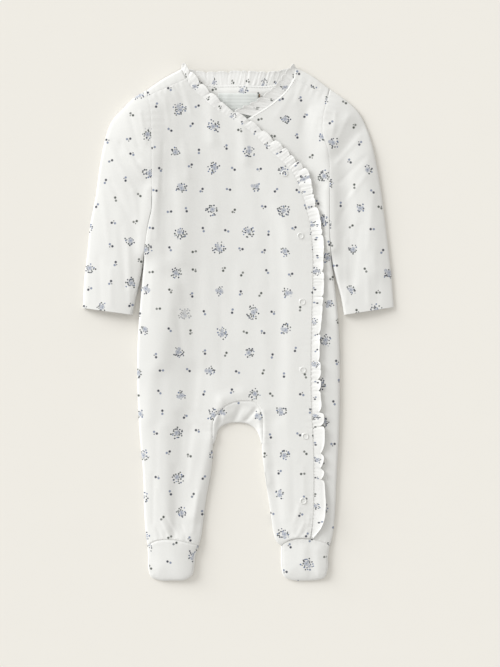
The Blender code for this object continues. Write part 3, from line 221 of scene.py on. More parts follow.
# tucks of the wrap's frill: height on its seam, height on its free edge, depth
WRAP_TUCKS = (
    (278.5, 288.9, 1), (266.5, 274.8, 1), (257.3, 264.2, 0.9), (245.2, 253.8, 0.6),
    (235.6, 242.2, 0.8), (224.7, 231.8, 1), (213, 221, 0.9), (201.5, 209.5, 1),
    (191.7, 200.9, 0.9), (184.1, 192.7, 0.7), (177.3, 185.4, 1), (169.3, 178.2, 0.8),
    (160.1, 165.6, 0.4), (153.2, 156.1, 0.15), (143.5, 147.1, 0.7), (139.5, 143.4, 0.4),
    (128.5, 133.1, 1), (116.4, 117.5, 0.1), (106.6, 107.1, 0.3), (100.3, 100.3, 0.7),
    (88.8, 88.8, 0.12), (78.4, 78.4, 0.12), (69.5, 69.5, 0.15), (57.7, 57.7, 0.8),
    (48.6, 48.6, 0.15), (37, 37, 0.12), (29, 29, 0.8), (19.2, 19.2, 0.3), (8.5, 8.5, 0.1),
    (-2.8, -2.8, 0.12), (-16.4, -13.6, 1), (-22.6, -20.4, 0.3), (-33.6, -32.5, 0.12),
    (-45.2, -45.2, 0.8), (-54.8, -54.8, 0.2), (-66.5, -66.5, 1), (-72.9, -72.9, 0.05),
    (-79.1, -79.1, 0.7), (-90.8, -89.8, 0.05), (-103.3, -104.3, 1), (-112.2, -112.2, 0.03),
    (-120.2, -119.2, 1), (-136.3, -135, 0.03), (-149.8, -152.5, 0.9), (-165.7, -170.2, 1),
    (-180.2, -181.5, 0.9), (-201, -201, 0.03), (-219.3, -218.3, 0.2))
# middles of the snaps: x, y
SNAPS = ((53.3, 170.7), (71.6, 99.1), (73.5, 23.2), (74.2, -55), (77.1, -130.9), (74.7, -205.2))
# broad folds: x, y at both ends, reach to each side, height
FOLDS = (
    (-82, 240, -82, 80, 8, -0.6), (-60, 190, -68, 70, 11, 0.8), (-74, 40, -87, -44, 11, 1.5),
    (-50, 60, -52, -30, 11, -0.5), (-50, -60, -52, -120, 16, -2), (-98, -60, -104, -110, 9, 0.8),
    (-84, -120, -82, -236, 6, 0.5), (-64, -110, -68, -236, 10, -1.3),
    (-30, -132, -50, -222, 7, 1.5), (-26, -116, -20, -94, 7, 1.1), (-18, -88, 4, -82, 7, 0.9),
    (-24, -112, -12, -106, 4, 0.7), (14, -104, 22, -112, 4, 0.9), (2, -100, -4, -112, 3.5, -1.2),
    (28, -104, 32, -160, 8, 1.2), (46, -120, 52, -226, 6, 0.5), (-66, 250, -60, 180, 10, -0.6),
    (-32, 250, -30, 208, 7, 0.9), (4, 226, 8, 186, 6, 0.8), (20, 180, 26, 120, 9, -0.4),
    (77, 244, 77, 186, 8, -0.9), (120, 190, 126, 50, 10, -1.5), (147, 190, 158, 60, 12, 1.5),
    (140, 222, 108, 188, 8, -1.1), (128, 236, 106, 222, 7, 0.7), (-134, 204, -116, 186, 4, -0.9),
    (-144, 207, -136, 196, 4, -0.6), (113, 60, 114, -230, 8, 0.9), (-92, 60, -97, -50, 10, 0.8),
    (-60, -262, -60, -290, 26, 2.6), (99, -262, 100, -288, 12, 1.4),
    (-114, 240, -108, 190, 24, 1.6), (76, -262, 77, -290, 6, 0.6), (90, -262, 92, -288, 5, 0.5),
    (-104, -130, -97, -236, 36, 1.8))
# long ridges with unequal sides: points, reach to the left, reach to the right, height
RIDGES = (
    (((-99, 262), (-97.5, 200), (-95.5, 150), (-96, 110), (-99, 76), (-104, 36), (-107, 0)),
     62.0, 54.0, 5.5),
    (((-96, 190), (-94.5, 150), (-95, 110), (-98, 76)), 9.0, 13.0, 0.8),
    (((101, 240), (103, 190), (104.5, 150), (105.5, 100), (112, 50), (119, 10)),
     12.0, 24.0, 2.4))
# where edges of sleeve and body or of both legs press together: as a fold, and how much
PRESSED = (
    (29, -130, 31, -180, 10, 0.7), (31, -180, 46, -248, 10, 0.6), (-99, 150, -108, 84, 11, 1.3),
    (105, 150, 107, 88, 11, 1.3))
# tucks of the small frills: share of the length, and depth
UNDER_TUCKS = tuple((share, 1.0) for share in (
    0.0, 0.08, 0.19, 0.27, 0.39, 0.47, 0.59, 0.69, 0.79, 0.89, 1.0))
BACK_TUCKS = (
    (0, 1), (0.08, 0.4), (0.17, 0.7), (0.29, 0.35), (0.38, 0.8), (0.5, 0.4), (0.59, 0.7),
    (0.66, 0.3), (0.77, 0.7), (0.88, 0.4), (1, 1))

# finer creases of the fronts and sleeves, written as the folds are
CREASES = (
    (-91, 168, -94, 96, 2.6, 0.35), (-86, 205, -88, 150, 2.2, -0.3), (-75, 150, -70, 96, 5, -0.3),
    (-62, 205, -58, 168, 4, 0.3), (-66, 60, -62, 22, 4.5, -0.35), (-70, 12, -64, -34, 3.5, -0.4),
    (-98, 60, -101, 8, 2.5, 0.3), (-30, 168, -26, 108, 6, 0.25), (-8, 200, -2, 150, 5, -0.25),
    (18, 150, 20, 86, 6, 0.25), (34, 112, 36, 40, 5, -0.25), (2, 60, 4, -20, 7, 0.22),
    (-20, 20, -18, -60, 6, -0.22), (30, -12, 34, -76, 6, 0.22), (-40, -40, -46, -98, 4, 0.3),
    (-54, -120, -60, -176, 3.5, -0.35), (-90, -120, -90, -190, 3, 0.3),
    (-72, -168, -73, -244, 4.5, -0.45), (-98, -176, -98, -232, 2.4, -0.3),
    (-46, -196, -52, -240, 2.6, 0.4), (-88, -226, -78, -247, 1.5, 0.45),
    (-84, -222, -72, -246, 1.4, -0.4), (-78, -228, -66, -248, 1.4, 0.35),
    (-94, -236, -87, -249, 1.5, -0.35), (-66, -232, -60, -248, 1.6, -0.3),
    (40, -130, 48, -196, 3.2, 0.3), (62, -150, 64, -216, 4, -0.3), (70, -212, 62, -238, 2.2, 0.4),
    (76, -230, 67, -247, 1.5, 0.45), (80, -236, 72, -246, 1.4, -0.4),
    (64, -232, 58, -247, 1.5, -0.35), (82, -222, 78, -244, 1.5, 0.35),
    (74, -166, 76, -204, 2.6, 0.3), (102, -60, 103, -130, 3, 0.3),
    (96, -140, 99, -214, 2.6, -0.35), (104, 90, 105, 20, 2.4, 0.35), (98, 20, 100, -50, 3, -0.3),
    (70, 292, 62, 272, 1.8, 0.4), (66, 284, 52, 262, 1.8, -0.35), (74, 282, 66, 252, 2.4, 0.35),
    (60, 262, 44, 236, 3, 0.3), (80, 246, 70, 212, 3.4, -0.35), (90, 236, 84, 206, 2.4, 0.3),
    (-70, 276, -62, 246, 2.6, -0.3), (-84, 262, -80, 226, 3, 0.3), (-60, 262, -54, 240, 2.2, 0.3),
    (-36, 232, -22, 214, 3, -0.3), (-112, 240, -106, 206, 2.4, 0.4),
    (-124, 236, -114, 200, 3, -0.4), (-132, 205, -110, 166, 2.4, 0.45),
    (-142, 190, -120, 150, 3, 0.35), (-146, 160, -124, 118, 3.4, -0.4),
    (-120, 150, -114, 104, 2.4, 0.35), (-156, 150, -148, 86, 3, 0.3),
    (-136, 108, -130, 40, 3.4, -0.4), (-126, 90, -124, 22, 2.2, 0.5),
    (-160, 74, -158, 24, 3.4, -0.3), (-146, 60, -146, 20, 3, 0.3), (-172, 60, -172, 24, 2, 0.25),
    (112, 240, 108, 214, 2.2, 0.4), (126, 236, 112, 206, 2.6, 0.4),
    (140, 214, 114, 184, 2.4, 0.45), (146, 190, 116, 160, 3, -0.4), (146, 168, 118, 130, 2.6, 0.4),
    (128, 150, 114, 110, 3, -0.35), (156, 150, 148, 84, 3, 0.3), (138, 110, 132, 44, 3.2, -0.4),
    (124, 96, 124, 24, 2.2, 0.45), (162, 80, 160, 24, 3.2, -0.3), (148, 64, 150, 22, 2.6, 0.35),
    (-16, -96, -20, -112, 1.6, -0.35), (20, -100, 8, -114, 2.4, -1.4),
    (24, -112, 25, -134, 1.8, 0.5), (-21, -103, -22, -126, 3, -1.2))

# creases of the layer that lies on the table
BACK_CREASES = (
    (-60, 236, -48, 150, 5, 0.9), (-20, 210, -26, 90, 6, 0.7), (30, 236, 22, 130, 5, 0.8),
    (66, 200, 58, 96, 4.5, 0.9), (-84, 170, -78, 60, 4, 0.8), (88, 140, 82, 30, 4, 0.8),
    (-50, 60, -58, -60, 6, 0.8), (44, 60, 52, -70, 6, 0.8), (0, 60, 4, -50, 7, 0.6),
    (-90, 10, -84, -90, 4, 0.7), (92, 6, 86, -96, 4, 0.7), (-30, -60, -64, -110, 5, 0.9),
    (30, -60, 66, -112, 5, 0.9), (-72, -130, -70, -220, 5, 0.8), (74, -130, 70, -224, 5, 0.8),
    (-52, -150, -60, -230, 3, 0.6), (56, -150, 62, -232, 3, 0.6), (-96, -150, -94, -236, 3, 0.6),
    (98, -150, 94, -236, 3, 0.6), (-138, 220, -114, 170, 4, 0.8), (-152, 170, -126, 110, 4, 0.8),
    (-150, 100, -146, 30, 4, 0.7), (-132, 80, -130, 26, 3, 0.6), (136, 220, 112, 176, 4, 0.8),
    (150, 170, 122, 116, 4, 0.8), (148, 100, 144, 30, 4, 0.7), (166, 90, 162, 34, 3, 0.6),
    (-12, 262, -18, 232, 4, 0.5), (-38, 268, 6, 260, 25, 4))


# ---------------------------------------------------------------- curves and grids

def run_of(curve):
    """Distance along the curve, by its first two columns, at each of its points."""
    steps = np.linalg.norm(np.diff(curve[:, :2], axis=0), axis=1)
    return np.concatenate([[0.0], np.cumsum(steps)])


def smooth(points, step=2.0):
    """A curve through the points: a cubic between each two, tangents from their neighbours."""
    points = np.asarray(points, float)
    run = run_of(points)
    tangent = np.gradient(points, run, axis=0)
    at = np.linspace(0.0, run[-1], max(8, int(run[-1] / step)))
    k = np.clip(np.searchsorted(run, at, side="right") - 1, 0, len(run) - 2)
    gap = (run[k + 1] - run[k])[:, None]
    t = (at - run[k])[:, None] / gap
    return ((1 + 2 * t) * (1 - t) ** 2 * points[k] + t * (1 - t) ** 2 * gap * tangent[k]
            + t * t * (3 - 2 * t) * points[k + 1] + t * t * (t - 1) * gap * tangent[k + 1])


def along(curve, shares):
    """Points at the given shares of the curve's length."""
    run = run_of(curve)
    at = np.asarray(shares, float) * run[-1]
    return np.stack([np.interp(at, run, column) for column in curve.T], axis=1)


def at_heights(curve, heights):
    """Points where a curve that runs up or down crosses the given heights."""
    order = np.argsort(curve[:, 1])
    x = np.interp(heights, curve[order, 1], curve[order, 0])
    return np.stack([x, np.asarray(heights, float)], axis=-1)


def line(start, end, shares):
    """Points of a straight line at the given shares."""
    shares = np.asarray(shares, float)[:, None]
    return np.asarray(start) * (1 - shares) + np.asarray(end) * shares


def unit(ways):
    """Ways scaled to length one."""
    return ways / np.maximum(np.linalg.norm(ways, axis=-1, keepdims=True), 1e-6)


def shifted(curve, distance):
    """The curve moved sideways, to the left of its run when the distance is positive."""
    ahead = unit(np.gradient(curve, axis=0))
    left = np.stack([-ahead[:, 1], ahead[:, 0]], axis=1)
    return curve + left * np.broadcast_to(distance, len(curve))[:, None]


def smooth_step(value):
    """0 below 0, 1 above 1, an S curve between."""
    value = np.clip(value, 0.0, 1.0)
    return value * value * (3 - 2 * value)


def wavering(run, length, stray, slow):
    """A sine wave along a run, whose phase strays to and fro by a slower sine."""
    return np.sin(run * (2 * np.pi / length) + stray * np.sin(run / slow))


def even_run(points, step=2.0):
    """The same curve, with a point at every step."""
    return along(points, np.linspace(0.0, 1.0, int(run_of(points)[-1] / step) + 2))


def divide(length, first=True, last=True, pitch=PITCH):
    """Distances from 0 to the length: close together beside an edge, even between."""
    head = NEAR if first else NEAR[:1]
    tail = length - (NEAR[::-1] if last else NEAR[:1])
    count = max(3, int((tail[0] - head[-1]) / pitch) + 1)
    return np.concatenate([head[:-1], np.linspace(head[-1], tail[0], count), tail[1:]])


def spread(distances, first=True, last=True):
    """Shares of a row of any width: the close lines keep their distance to the edge.

    In a narrow row they draw together, so that they take up no more than 0.8 of it.
    """
    whole = distances[-1]
    near = NEAR[-1]
    is_head = (distances < near) & first
    is_tail = (distances > whole - near) & last

    def shares(width):
        width = np.asarray(width, float)[..., None]
        squeeze = np.minimum(1.0, 0.4 * width / near)
        head, tail = near * squeeze * first, near * squeeze * last
        scale = (width - head - tail) / (whole - near * first - near * last)
        place = head + (distances - near * first) * scale
        place = np.where(is_head, distances * squeeze, place)
        place = np.where(is_tail, width - (whole - distances) * squeeze, place)
        return place / width
    return shares


def quads(number):
    """Every four neighbours of a table of point numbers, going round."""
    return np.stack([number[:-1, :-1], number[:-1, 1:], number[1:, 1:], number[1:, :-1]],
                    axis=-1).reshape(-1, 4)


def weave(left, right, shares, top=None, bottom=None, reach=0.25):
    """Straight rows between two edges; given first and last rows fade out over the reach."""
    part = shares(np.linalg.norm(right - left, axis=1))[..., None]
    grid = left[:, None] * (1 - part) + right[:, None] * part
    v = np.linspace(0.0, 1.0, len(left))
    change = np.zeros_like(grid)
    if top is not None:
        change += smooth_step(1 - v / reach)[:, None, None] * (top - grid[0])
    if bottom is not None:
        change += smooth_step(1 - (1 - v) / reach)[:, None, None] * (bottom - grid[-1])
    return grid + change


# ---------------------------------------------------------------- the suit's curves

SIDE, INSEAM_EDGE = ({"right": smooth([row[1::-1] for row in table]),
                      "left": smooth([row[2::-2] for row in table])}
                     for table in (BODY, INSEAM))
SLEEVE_EDGES = {half: smooth(table) for half, table in SLEEVES.items()}
CURVE = {name: smooth(table) for name, table in LINES.items()}


def corners_of(curve, table):
    """Where the curve passes the fourth and the eighth point of its table."""
    return (np.argmin(np.linalg.norm(curve - np.array(table[k]), axis=1)) for k in (3, 7))


def crotch_parts():
    """The crotch seam as three curves: beside the right leg, the top, beside the left leg."""
    seam = CURVE["crotch_seam"]
    first, last = corners_of(seam, LINES["crotch_seam"])
    return seam[:first + 1][::-1], seam[first:last + 1], seam[last:]


def leg_inner(leg):
    """Inner edge of a leg panel: down the crotch seam, then down the inseam."""
    right, _, left = crotch_parts()
    return np.concatenate([right if leg == "right" else left, INSEAM_EDGE[leg]])


# shares of the rows down a torso and a leg, and of the lines across and down a foot
TORSO_SHARES = spread(divide(SPAN["torso"]))
LEG_SHARES = spread(divide(SPAN["leg"], first=False), first=False)
FOOT_ACROSS = divide(SPAN["foot_across"]) / SPAN["foot_across"]
FOOT_DOWN = divide(SPAN["foot_down"]) / SPAN["foot_down"]


def rows_down(edge, top, low=HEEL, leg_top=TORSO_BOTTOM):
    """Places of the rows on an edge: down the torso, then down the leg."""
    torso = top - TORSO_SHARES(top - TORSO_BOTTOM) * (top - TORSO_BOTTOM)
    leg = leg_top - LEG_SHARES(leg_top - low) * (leg_top - low)
    return at_heights(edge, torso), at_heights(edge, leg)


def edge_rows(half):
    """Rows on the outer edge of the body: down the armhole, then down the side seam."""
    edge = np.concatenate([CURVE["armhole_" + half], SIDE[half][1:]])
    return rows_down(edge, CURVE["seam_" + half][-1, 1])


def inner_rows(leg):
    """Rows on the inner edge of a leg."""
    inner = leg_inner(leg)
    return rows_down(inner, inner[0, 1], leg_top=inner[0, 1])[1]


def arch_points():
    """Points of the crotch seam over its top, shared by all that meet there."""
    return along(crotch_parts()[1], np.linspace(0.0, 1.0, ARCH_LINES))


def armhole_line(half):
    """The armhole through the rows of the body."""
    rows = edge_rows(half)[0]
    underarm = SLEEVE_EDGES[half][0, 2:]
    return np.vstack([CURVE["fold_" + half][-1], rows[rows[:, 1] > underarm[1] + 2.0], underarm])


def sole_seam(half):
    """Seam between a sole's rim and the foot top, inside the outline of the foot."""
    return shifted(CURVE["foot_" + half], SIGN[half] * SOLE_TURN)


# the folded and seamed silhouette, where the top layer comes down to the back
FOLDED = [CURVE[name] for name in ("fold_right", "fold_left", "crotch_fold", "foot_right",
                                   "foot_left")]
FOLDED += [edges[half] for edges in (SIDE, INSEAM_EDGE) for half in SIGN]
FOLDED += [SLEEVE_EDGES[half][:, pair] for half in SIGN for pair in (slice(0, 2), slice(2, 4))]
# seams on the top layer, each with the depth of its groove
SEWN = [(CURVE[name], deep) for name, deep in (
    ("armhole_right", 0.08), ("armhole_left", 0.12), ("seam_right", 0.1), ("seam_left", 0.1),
    ("wrap", 0.1), ("crotch_seam", 0.35), ("ankle_right", 0.4), ("ankle_left", 0.4))]
SEWN += [(sole_seam(half), 0.1) for half in SIGN]


# ---------------------------------------------------------------- the relief

def nearest(points, curves, chunk=2000):
    """Distance from each point to the nearest of the curves' segments, its run and curve."""
    flat = points.reshape(-1, 2)
    start = np.concatenate([curve[:-1] for curve in curves])
    step = np.concatenate([curve[1:] for curve in curves]) - start
    square = np.sum(step * step, axis=1)
    run = np.concatenate([run_of(curve)[:-1] for curve in curves])
    owner = np.repeat(np.arange(len(curves)), [len(curve) - 1 for curve in curves])
    found = []
    for low in range(0, len(flat), chunk):
        part = flat[low:low + chunk]
        dx = part[:, :1] - start[:, 0]
        dy = part[:, 1:] - start[:, 1]
        t = np.clip((dx * step[:, 0] + dy * step[:, 1]) / square, 0.0, 1.0)
        gap = (dx - t * step[:, 0]) ** 2 + (dy - t * step[:, 1]) ** 2
        best = np.argmin(gap, axis=1)
        pick = np.arange(len(part))
        found.append(np.stack([np.sqrt(gap[pick, best]),
                               run[best] + t[pick, best] * np.sqrt(square[best]),
                               owner[best]]))
    distance, at, which = np.concatenate(found, axis=1).reshape((3,) + points.shape[:-1])
    return distance, at, which.astype(int)


def creased(points, table):
    """Sum of ridges and troughs: each a bell across its line, rounded at its ends."""
    total = np.zeros(points.shape[:-1])
    for x0, y0, x1, y1, width, height in table:
        step = np.array((x1 - x0, y1 - y0))
        gap = points - np.array((x0, y0))
        t = np.clip(gap @ step / (step @ step), 0.0, 1.0)
        gap = gap - t[..., None] * step
        total += height * np.exp(-np.sum(gap * gap, axis=-1) / width ** 2)
    return total


def ridged(points):
    """Sum of the long ridges: a bell whose reach changes from one side to the other."""
    total = np.zeros(points.shape[:-1])
    for table, left, right, height in RIDGES:
        curve = smooth(table)
        distance = nearest(points, [curve])[0]
        aside = points[..., 0] - at_heights(curve, points[..., 1])[..., 0]
        side = np.clip(aside / np.maximum(distance, 0.01), -1.0, 1.0)
        reach = 0.5 * (left + right) + 0.5 * (right - left) * side
        total += height * np.exp(-(distance / reach) ** 2)
    return total


def uneven(points, across, down, seed):
    """Soft unevenness: random heights on a lattice, blended with S curves between."""
    table = np.random.default_rng(seed).uniform(-1.0, 1.0, (64, 64))
    place = points / np.array((across, down)) + 32.0
    cell = np.floor(place).astype(int)
    u, v = np.moveaxis(smooth_step(place - cell), -1, 0)
    i, j = cell[..., 0] % 64, cell[..., 1] % 64
    k, m = (i + 1) % 64, (j + 1) % 64
    return ((table[i, j] * (1 - u) + table[k, j] * u) * (1 - v)
            + (table[i, m] * (1 - u) + table[k, m] * u) * v)


def lap(points):
    """How far the upper front is raised where the lower front lies under it."""
    hidden = CURVE["under"]
    distance = nearest(points, [hidden])[0]
    inside = points[..., 0] >= at_heights(hidden, points[..., 1])[..., 0]
    outside = np.where(inside, 0.0, distance)
    far, near = LAP_RAMP
    far = far + LAP_BROAD * smooth_step((points[..., 1] - LAP_CHEST[0]) / LAP_CHEST[1])
    return LAP_RISE * smooth_step((far - outside) / (far - near))


def edge_and_crown(points):
    """Height of a folded edge, the crown of the top layer, and how far two edges press.

    The edge is at the base, and where two edges press together nearly as high as the cloth.
    """
    crown = CROWN + creased(points, FOLDS) + ridged(points)
    pressed = np.clip(creased(points, PRESSED), 0.0, 1.0) * PRESSED_SHARE
    return BASE + pressed * (crown + PUFF[0]), crown, pressed


def top_level(points, raised=0.0, sewn=True):
    """Height of the top layer.

    At a distance d from a folded edge it is the base plus the crown times the sine of
    arccos(1 - d / roll), so the edge is round, and a slow rise of 1 - exp(-d / reach).
    Where two edges press together it stays near its full height.  Folds, creases and a soft
    unevenness are added away from the edge, a groove with a raised lip and small puckers at
    a seam.
    """
    distance = nearest(points, FOLDED)[0]
    cosine = np.clip(1.0 - distance / ROLL, 0.0, 1.0)
    sine = np.sqrt(1.0 - cosine ** 2)
    _, crown, pressed = edge_and_crown(points)
    crown += raised * smooth_step(distance / LAP_SETTLE)
    level = BASE + crown * sine + PUFF[0] * (1.0 - np.exp(-distance / PUFF[1]))
    level += pressed * (BASE + crown + PUFF[0] - level)
    fine = creased(points, CREASES)
    waves = 0.6 * uneven(points, *WAVES["broad"]) + 0.4 * uneven(points, *WAVES["small"])
    fine += suit().cloth.unevenness / MM * waves
    if sewn:
        gap, run, which = nearest(points, [curve for curve, _ in SEWN])
        depth = np.array([deep for _, deep in SEWN])[which]
        share, away, reach = LIP
        fine -= depth * np.exp(-(gap / GROOVE) ** 2)
        fine += share * depth * np.exp(-((gap - away) / reach) ** 2)
        growing, fading = PUCKERS
        wave = wavering(run, *WAVERS["pucker"]) * (0.5 + 0.5 * np.sin(run / 17.0))
        wave *= smooth_step(gap / growing) * np.exp(-gap / fading)
        fine += suit().cloth.puckers / MM * wave
    return level + fine * smooth_step(distance / FADE[0])


def back_level(points):
    """Height of the layer on the table: its creases stand off it, its edge curls up.

    The curl is the base times 1 minus the sine of arccos(1 - d / back roll).
    """
    distance = nearest(points, FOLDED)[0]
    cosine = np.clip(1.0 - distance / BACK_ROLL, 0.0, 1.0)
    lifted = creased(points, BACK_CREASES) + BACK_SOFT * (1 + uneven(points, *WAVES["back"]))
    edge = edge_and_crown(points)[0]
    return edge * (1.0 - np.sqrt(1.0 - cosine ** 2)) + lifted * smooth_step(distance / FADE[1])


def with_height(points, height):
    """The points with a height each, or one for all."""
    height = np.broadcast_to(height, points.shape[:-1])
    return np.concatenate([points, height[..., None]], axis=-1)


# ---------------------------------------------------------------- meshes

def turned(points, angle=0.0, start=(0.0, 0.0)):
    """Places on the cloth: the x, y of the points turned by the angle and moved."""
    cos, sin = math.cos(angle), math.sin(angle)
    x, y = points[..., 0], points[..., 1]
    return np.stack([cos * x + sin * y, cos * y - sin * x], axis=-1) + np.array(start)


def face_alike(mesh, closed=False):
    """Turn neighbouring faces to the same side, and those of a closed mesh outwards."""
    work = bmesh.new()
    work.from_mesh(mesh)
    bmesh.ops.recalc_face_normals(work, faces=work.faces)
    if closed and work.calc_volume(signed=True) < 0.0:
        bmesh.ops.reverse_faces(work, faces=work.faces)
    work.to_mesh(mesh)
    work.free()


def piece(name, patches, material, wall, up=True, tube=False):
    """One piece from patches of grids, joined where their points are the same.

    Each patch is a pair: rows x columns of x, y, z in millimetres, and of places on the
    cloth in millimetres.  Every four neighbours make a face.  The faces are turned to one
    side: upwards, downwards, or, on a tube, upwards above its middle height.
    """
    corners, cloth, cells, count = [], [], [], 0
    for points, spots in patches:
        rows, columns = points.shape[:2]
        cells.append(count + quads(np.arange(rows * columns).reshape(rows, columns)))
        corners.append(points.reshape(-1, 3))
        cloth.append(spots.reshape(-1, 2))
        count += rows * columns
    corners, cloth, cells = (np.concatenate(part) for part in (corners, cloth, cells))
    _, first, joined = np.unique(np.round(corners, 2) + 0.0, axis=0,
                                 return_index=True, return_inverse=True)
    faces = joined.reshape(-1)[cells]
    mesh = bpy.data.meshes.new(name)
    mesh.vertices.add(len(first))
    mesh.vertices.foreach_set("co", (corners[first] * MM).ravel())
    mesh.loops.add(faces.size)
    mesh.loops.foreach_set("vertex_index", faces.ravel())
    mesh.polygons.add(len(faces))
    mesh.polygons.foreach_set("loop_start", np.arange(0, faces.size, 4))
    mesh.update(calc_edges=True)
    places = mesh.uv_layers.new(name="cloth")
    places.data.foreach_set("uv", (cloth[cells.ravel()] * MM).ravel())
    mesh.validate()
    face_alike(mesh)
    facing, centre, area = (np.zeros(len(mesh.polygons) * width) for width in (3, 3, 1))
    for measure, values in (("normal", facing), ("center", centre), ("area", area)):
        mesh.polygons.foreach_get(measure, values)
    weight = area * (np.sign(centre[2::3] - centre[2::3].mean()) if tube else 1.0)
    if (np.sum(facing[2::3] * weight) < 0.0) == up:
        mesh.flip_normals()
    return dress(name, mesh, material, SHARP[0], wall)


def dress(name, mesh, material, sharp, wall=None):
    """Put a mesh in the scene: smooth, with its finish, and its wall laid inwards."""
    mesh.shade_smooth()
    mesh.set_sharp_from_angle(angle=math.radians(sharp))
    mesh.materials.append(material)
    item = bpy.data.objects.new(name, mesh)
    bpy.context.scene.collection.objects.link(item)
    if wall:
        shell = item.modifiers.new("wall", "SOLIDIFY")
        shell.thickness = wall
        shell.offset = -1.0
    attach(item, "root")
    return item


def solid(name, points, faces, material):
    """A closed mesh of points in millimetres, its faces turned outwards."""
    mesh = bpy.data.meshes.new(name)
    mesh.from_pydata((points * MM).tolist(), [], faces.tolist())
    face_alike(mesh, closed=True)
    return dress(name, mesh, material, SHARP[1])


# ---------------------------------------------------------------- finishes

class Number:
    """A value in a material's node tree, so that formulas can be written as sums."""

    def __init__(self, tree, socket):
        self.tree = tree
        self.socket = socket

    def math(self, kind, *others, first=None):
        """One math node on this value and others."""
        node = self.tree.nodes.new("ShaderNodeMath")
        node.operation = kind
        values = (self,) + others if first is None else (first, self)
        for value, socket in zip(values, node.inputs):
            feed(self.tree, socket, value)
        return Number(self.tree, node.outputs[0])

    def __add__(self, other):
        return self.math("ADD", other)

    def __sub__(self, other):
        return self.math("SUBTRACT", other)

    def __rsub__(self, other):
        return self.math("SUBTRACT", first=other)

    def __mul__(self, other):
        return self.math("MULTIPLY", other)

    def __truediv__(self, other):
        return self.math("DIVIDE", other)

    def most(self, other):
        """The greater of this value and another."""
        return self.math("MAXIMUM", other)

    def below(self, edge, soft=0.01):
        """1 where the value is less than the edge, 0 above it, with a rim that may be soft."""
        node = self.tree.nodes.new("ShaderNodeMapRange")
        node.interpolation_type = "SMOOTHSTEP"
        for value, socket in zip((self, edge - soft, edge + soft, 1.0, 0.0), node.inputs):
            feed(self.tree, socket, value)
        return Number(self.tree, node.outputs["Result"])


def feed(tree, socket, value):
    """Link a value to a node's socket, or set the socket where the value is a plain number."""
    if isinstance(value, Number):
        tree.links.new(value.socket, socket)
    else:
        socket.default_value = value


def vector_of(tree, *values):
    """A vector of up to three values."""
    join = tree.nodes.new("ShaderNodeCombineXYZ")
    for value, socket in zip(values, join.inputs):
        feed(tree, socket, value)
    return join.outputs[0]


def parts_of(tree, kind, vector):
    """The parts of a vector or of a colour, as values."""
    split = tree.nodes.new("ShaderNodeSeparate" + kind)
    tree.links.new(vector, split.inputs[0])
    return [Number(tree, socket) for socket in split.outputs]


def random_of(tree, *values):
    """Three random numbers from 0 to 1 that depend on up to three whole numbers."""
    dice = tree.nodes.new("ShaderNodeTexWhiteNoise")
    tree.links.new(vector_of(tree, *values), dice.inputs["Vector"])
    return parts_of(tree, "Color", dice.outputs["Color"])


def length_of(u, v):
    """Root of the sum of squares."""
    return (u * u + v * v).math("SQRT")


def mixed(tree, share, low, high):
    """A colour between two, by a share that is a value."""
    node = tree.nodes.new("ShaderNodeMix")
    node.data_type = "RGBA"
    tree.links.new(share.socket, node.inputs[0])
    for socket, colour in ((node.inputs[6], low), (node.inputs[7], high)):
        if hasattr(colour, "is_output"):
            tree.links.new(colour, socket)
        else:
            socket.default_value = (*colour[:3], 1.0)
    return node.outputs[2]


def specks_of(tree, u, v, offset, pitch):
    """Scattered specks: the cells of a random lattice.

    Gives the distance to the nearest cell's point and three random numbers of the cell,
    and how far that point lies from the middle, so that a whole speck is kept or left out.
    """
    cells = tree.nodes.new("ShaderNodeTexVoronoi")
    cells.voronoi_dimensions = "2D"
    cells.inputs["Scale"].default_value = 1.0 / pitch
    cells.inputs["Randomness"].default_value = 0.8
    tree.links.new(vector_of(tree, u + offset, v + offset), cells.inputs["Vector"])
    x, y, _ = parts_of(tree, "XYZ", cells.outputs["Position"])
    return (Number(tree, cells.outputs["Distance"]) * pitch,
            parts_of(tree, "Color", cells.outputs["Color"]), length_of(x - offset, y - offset))


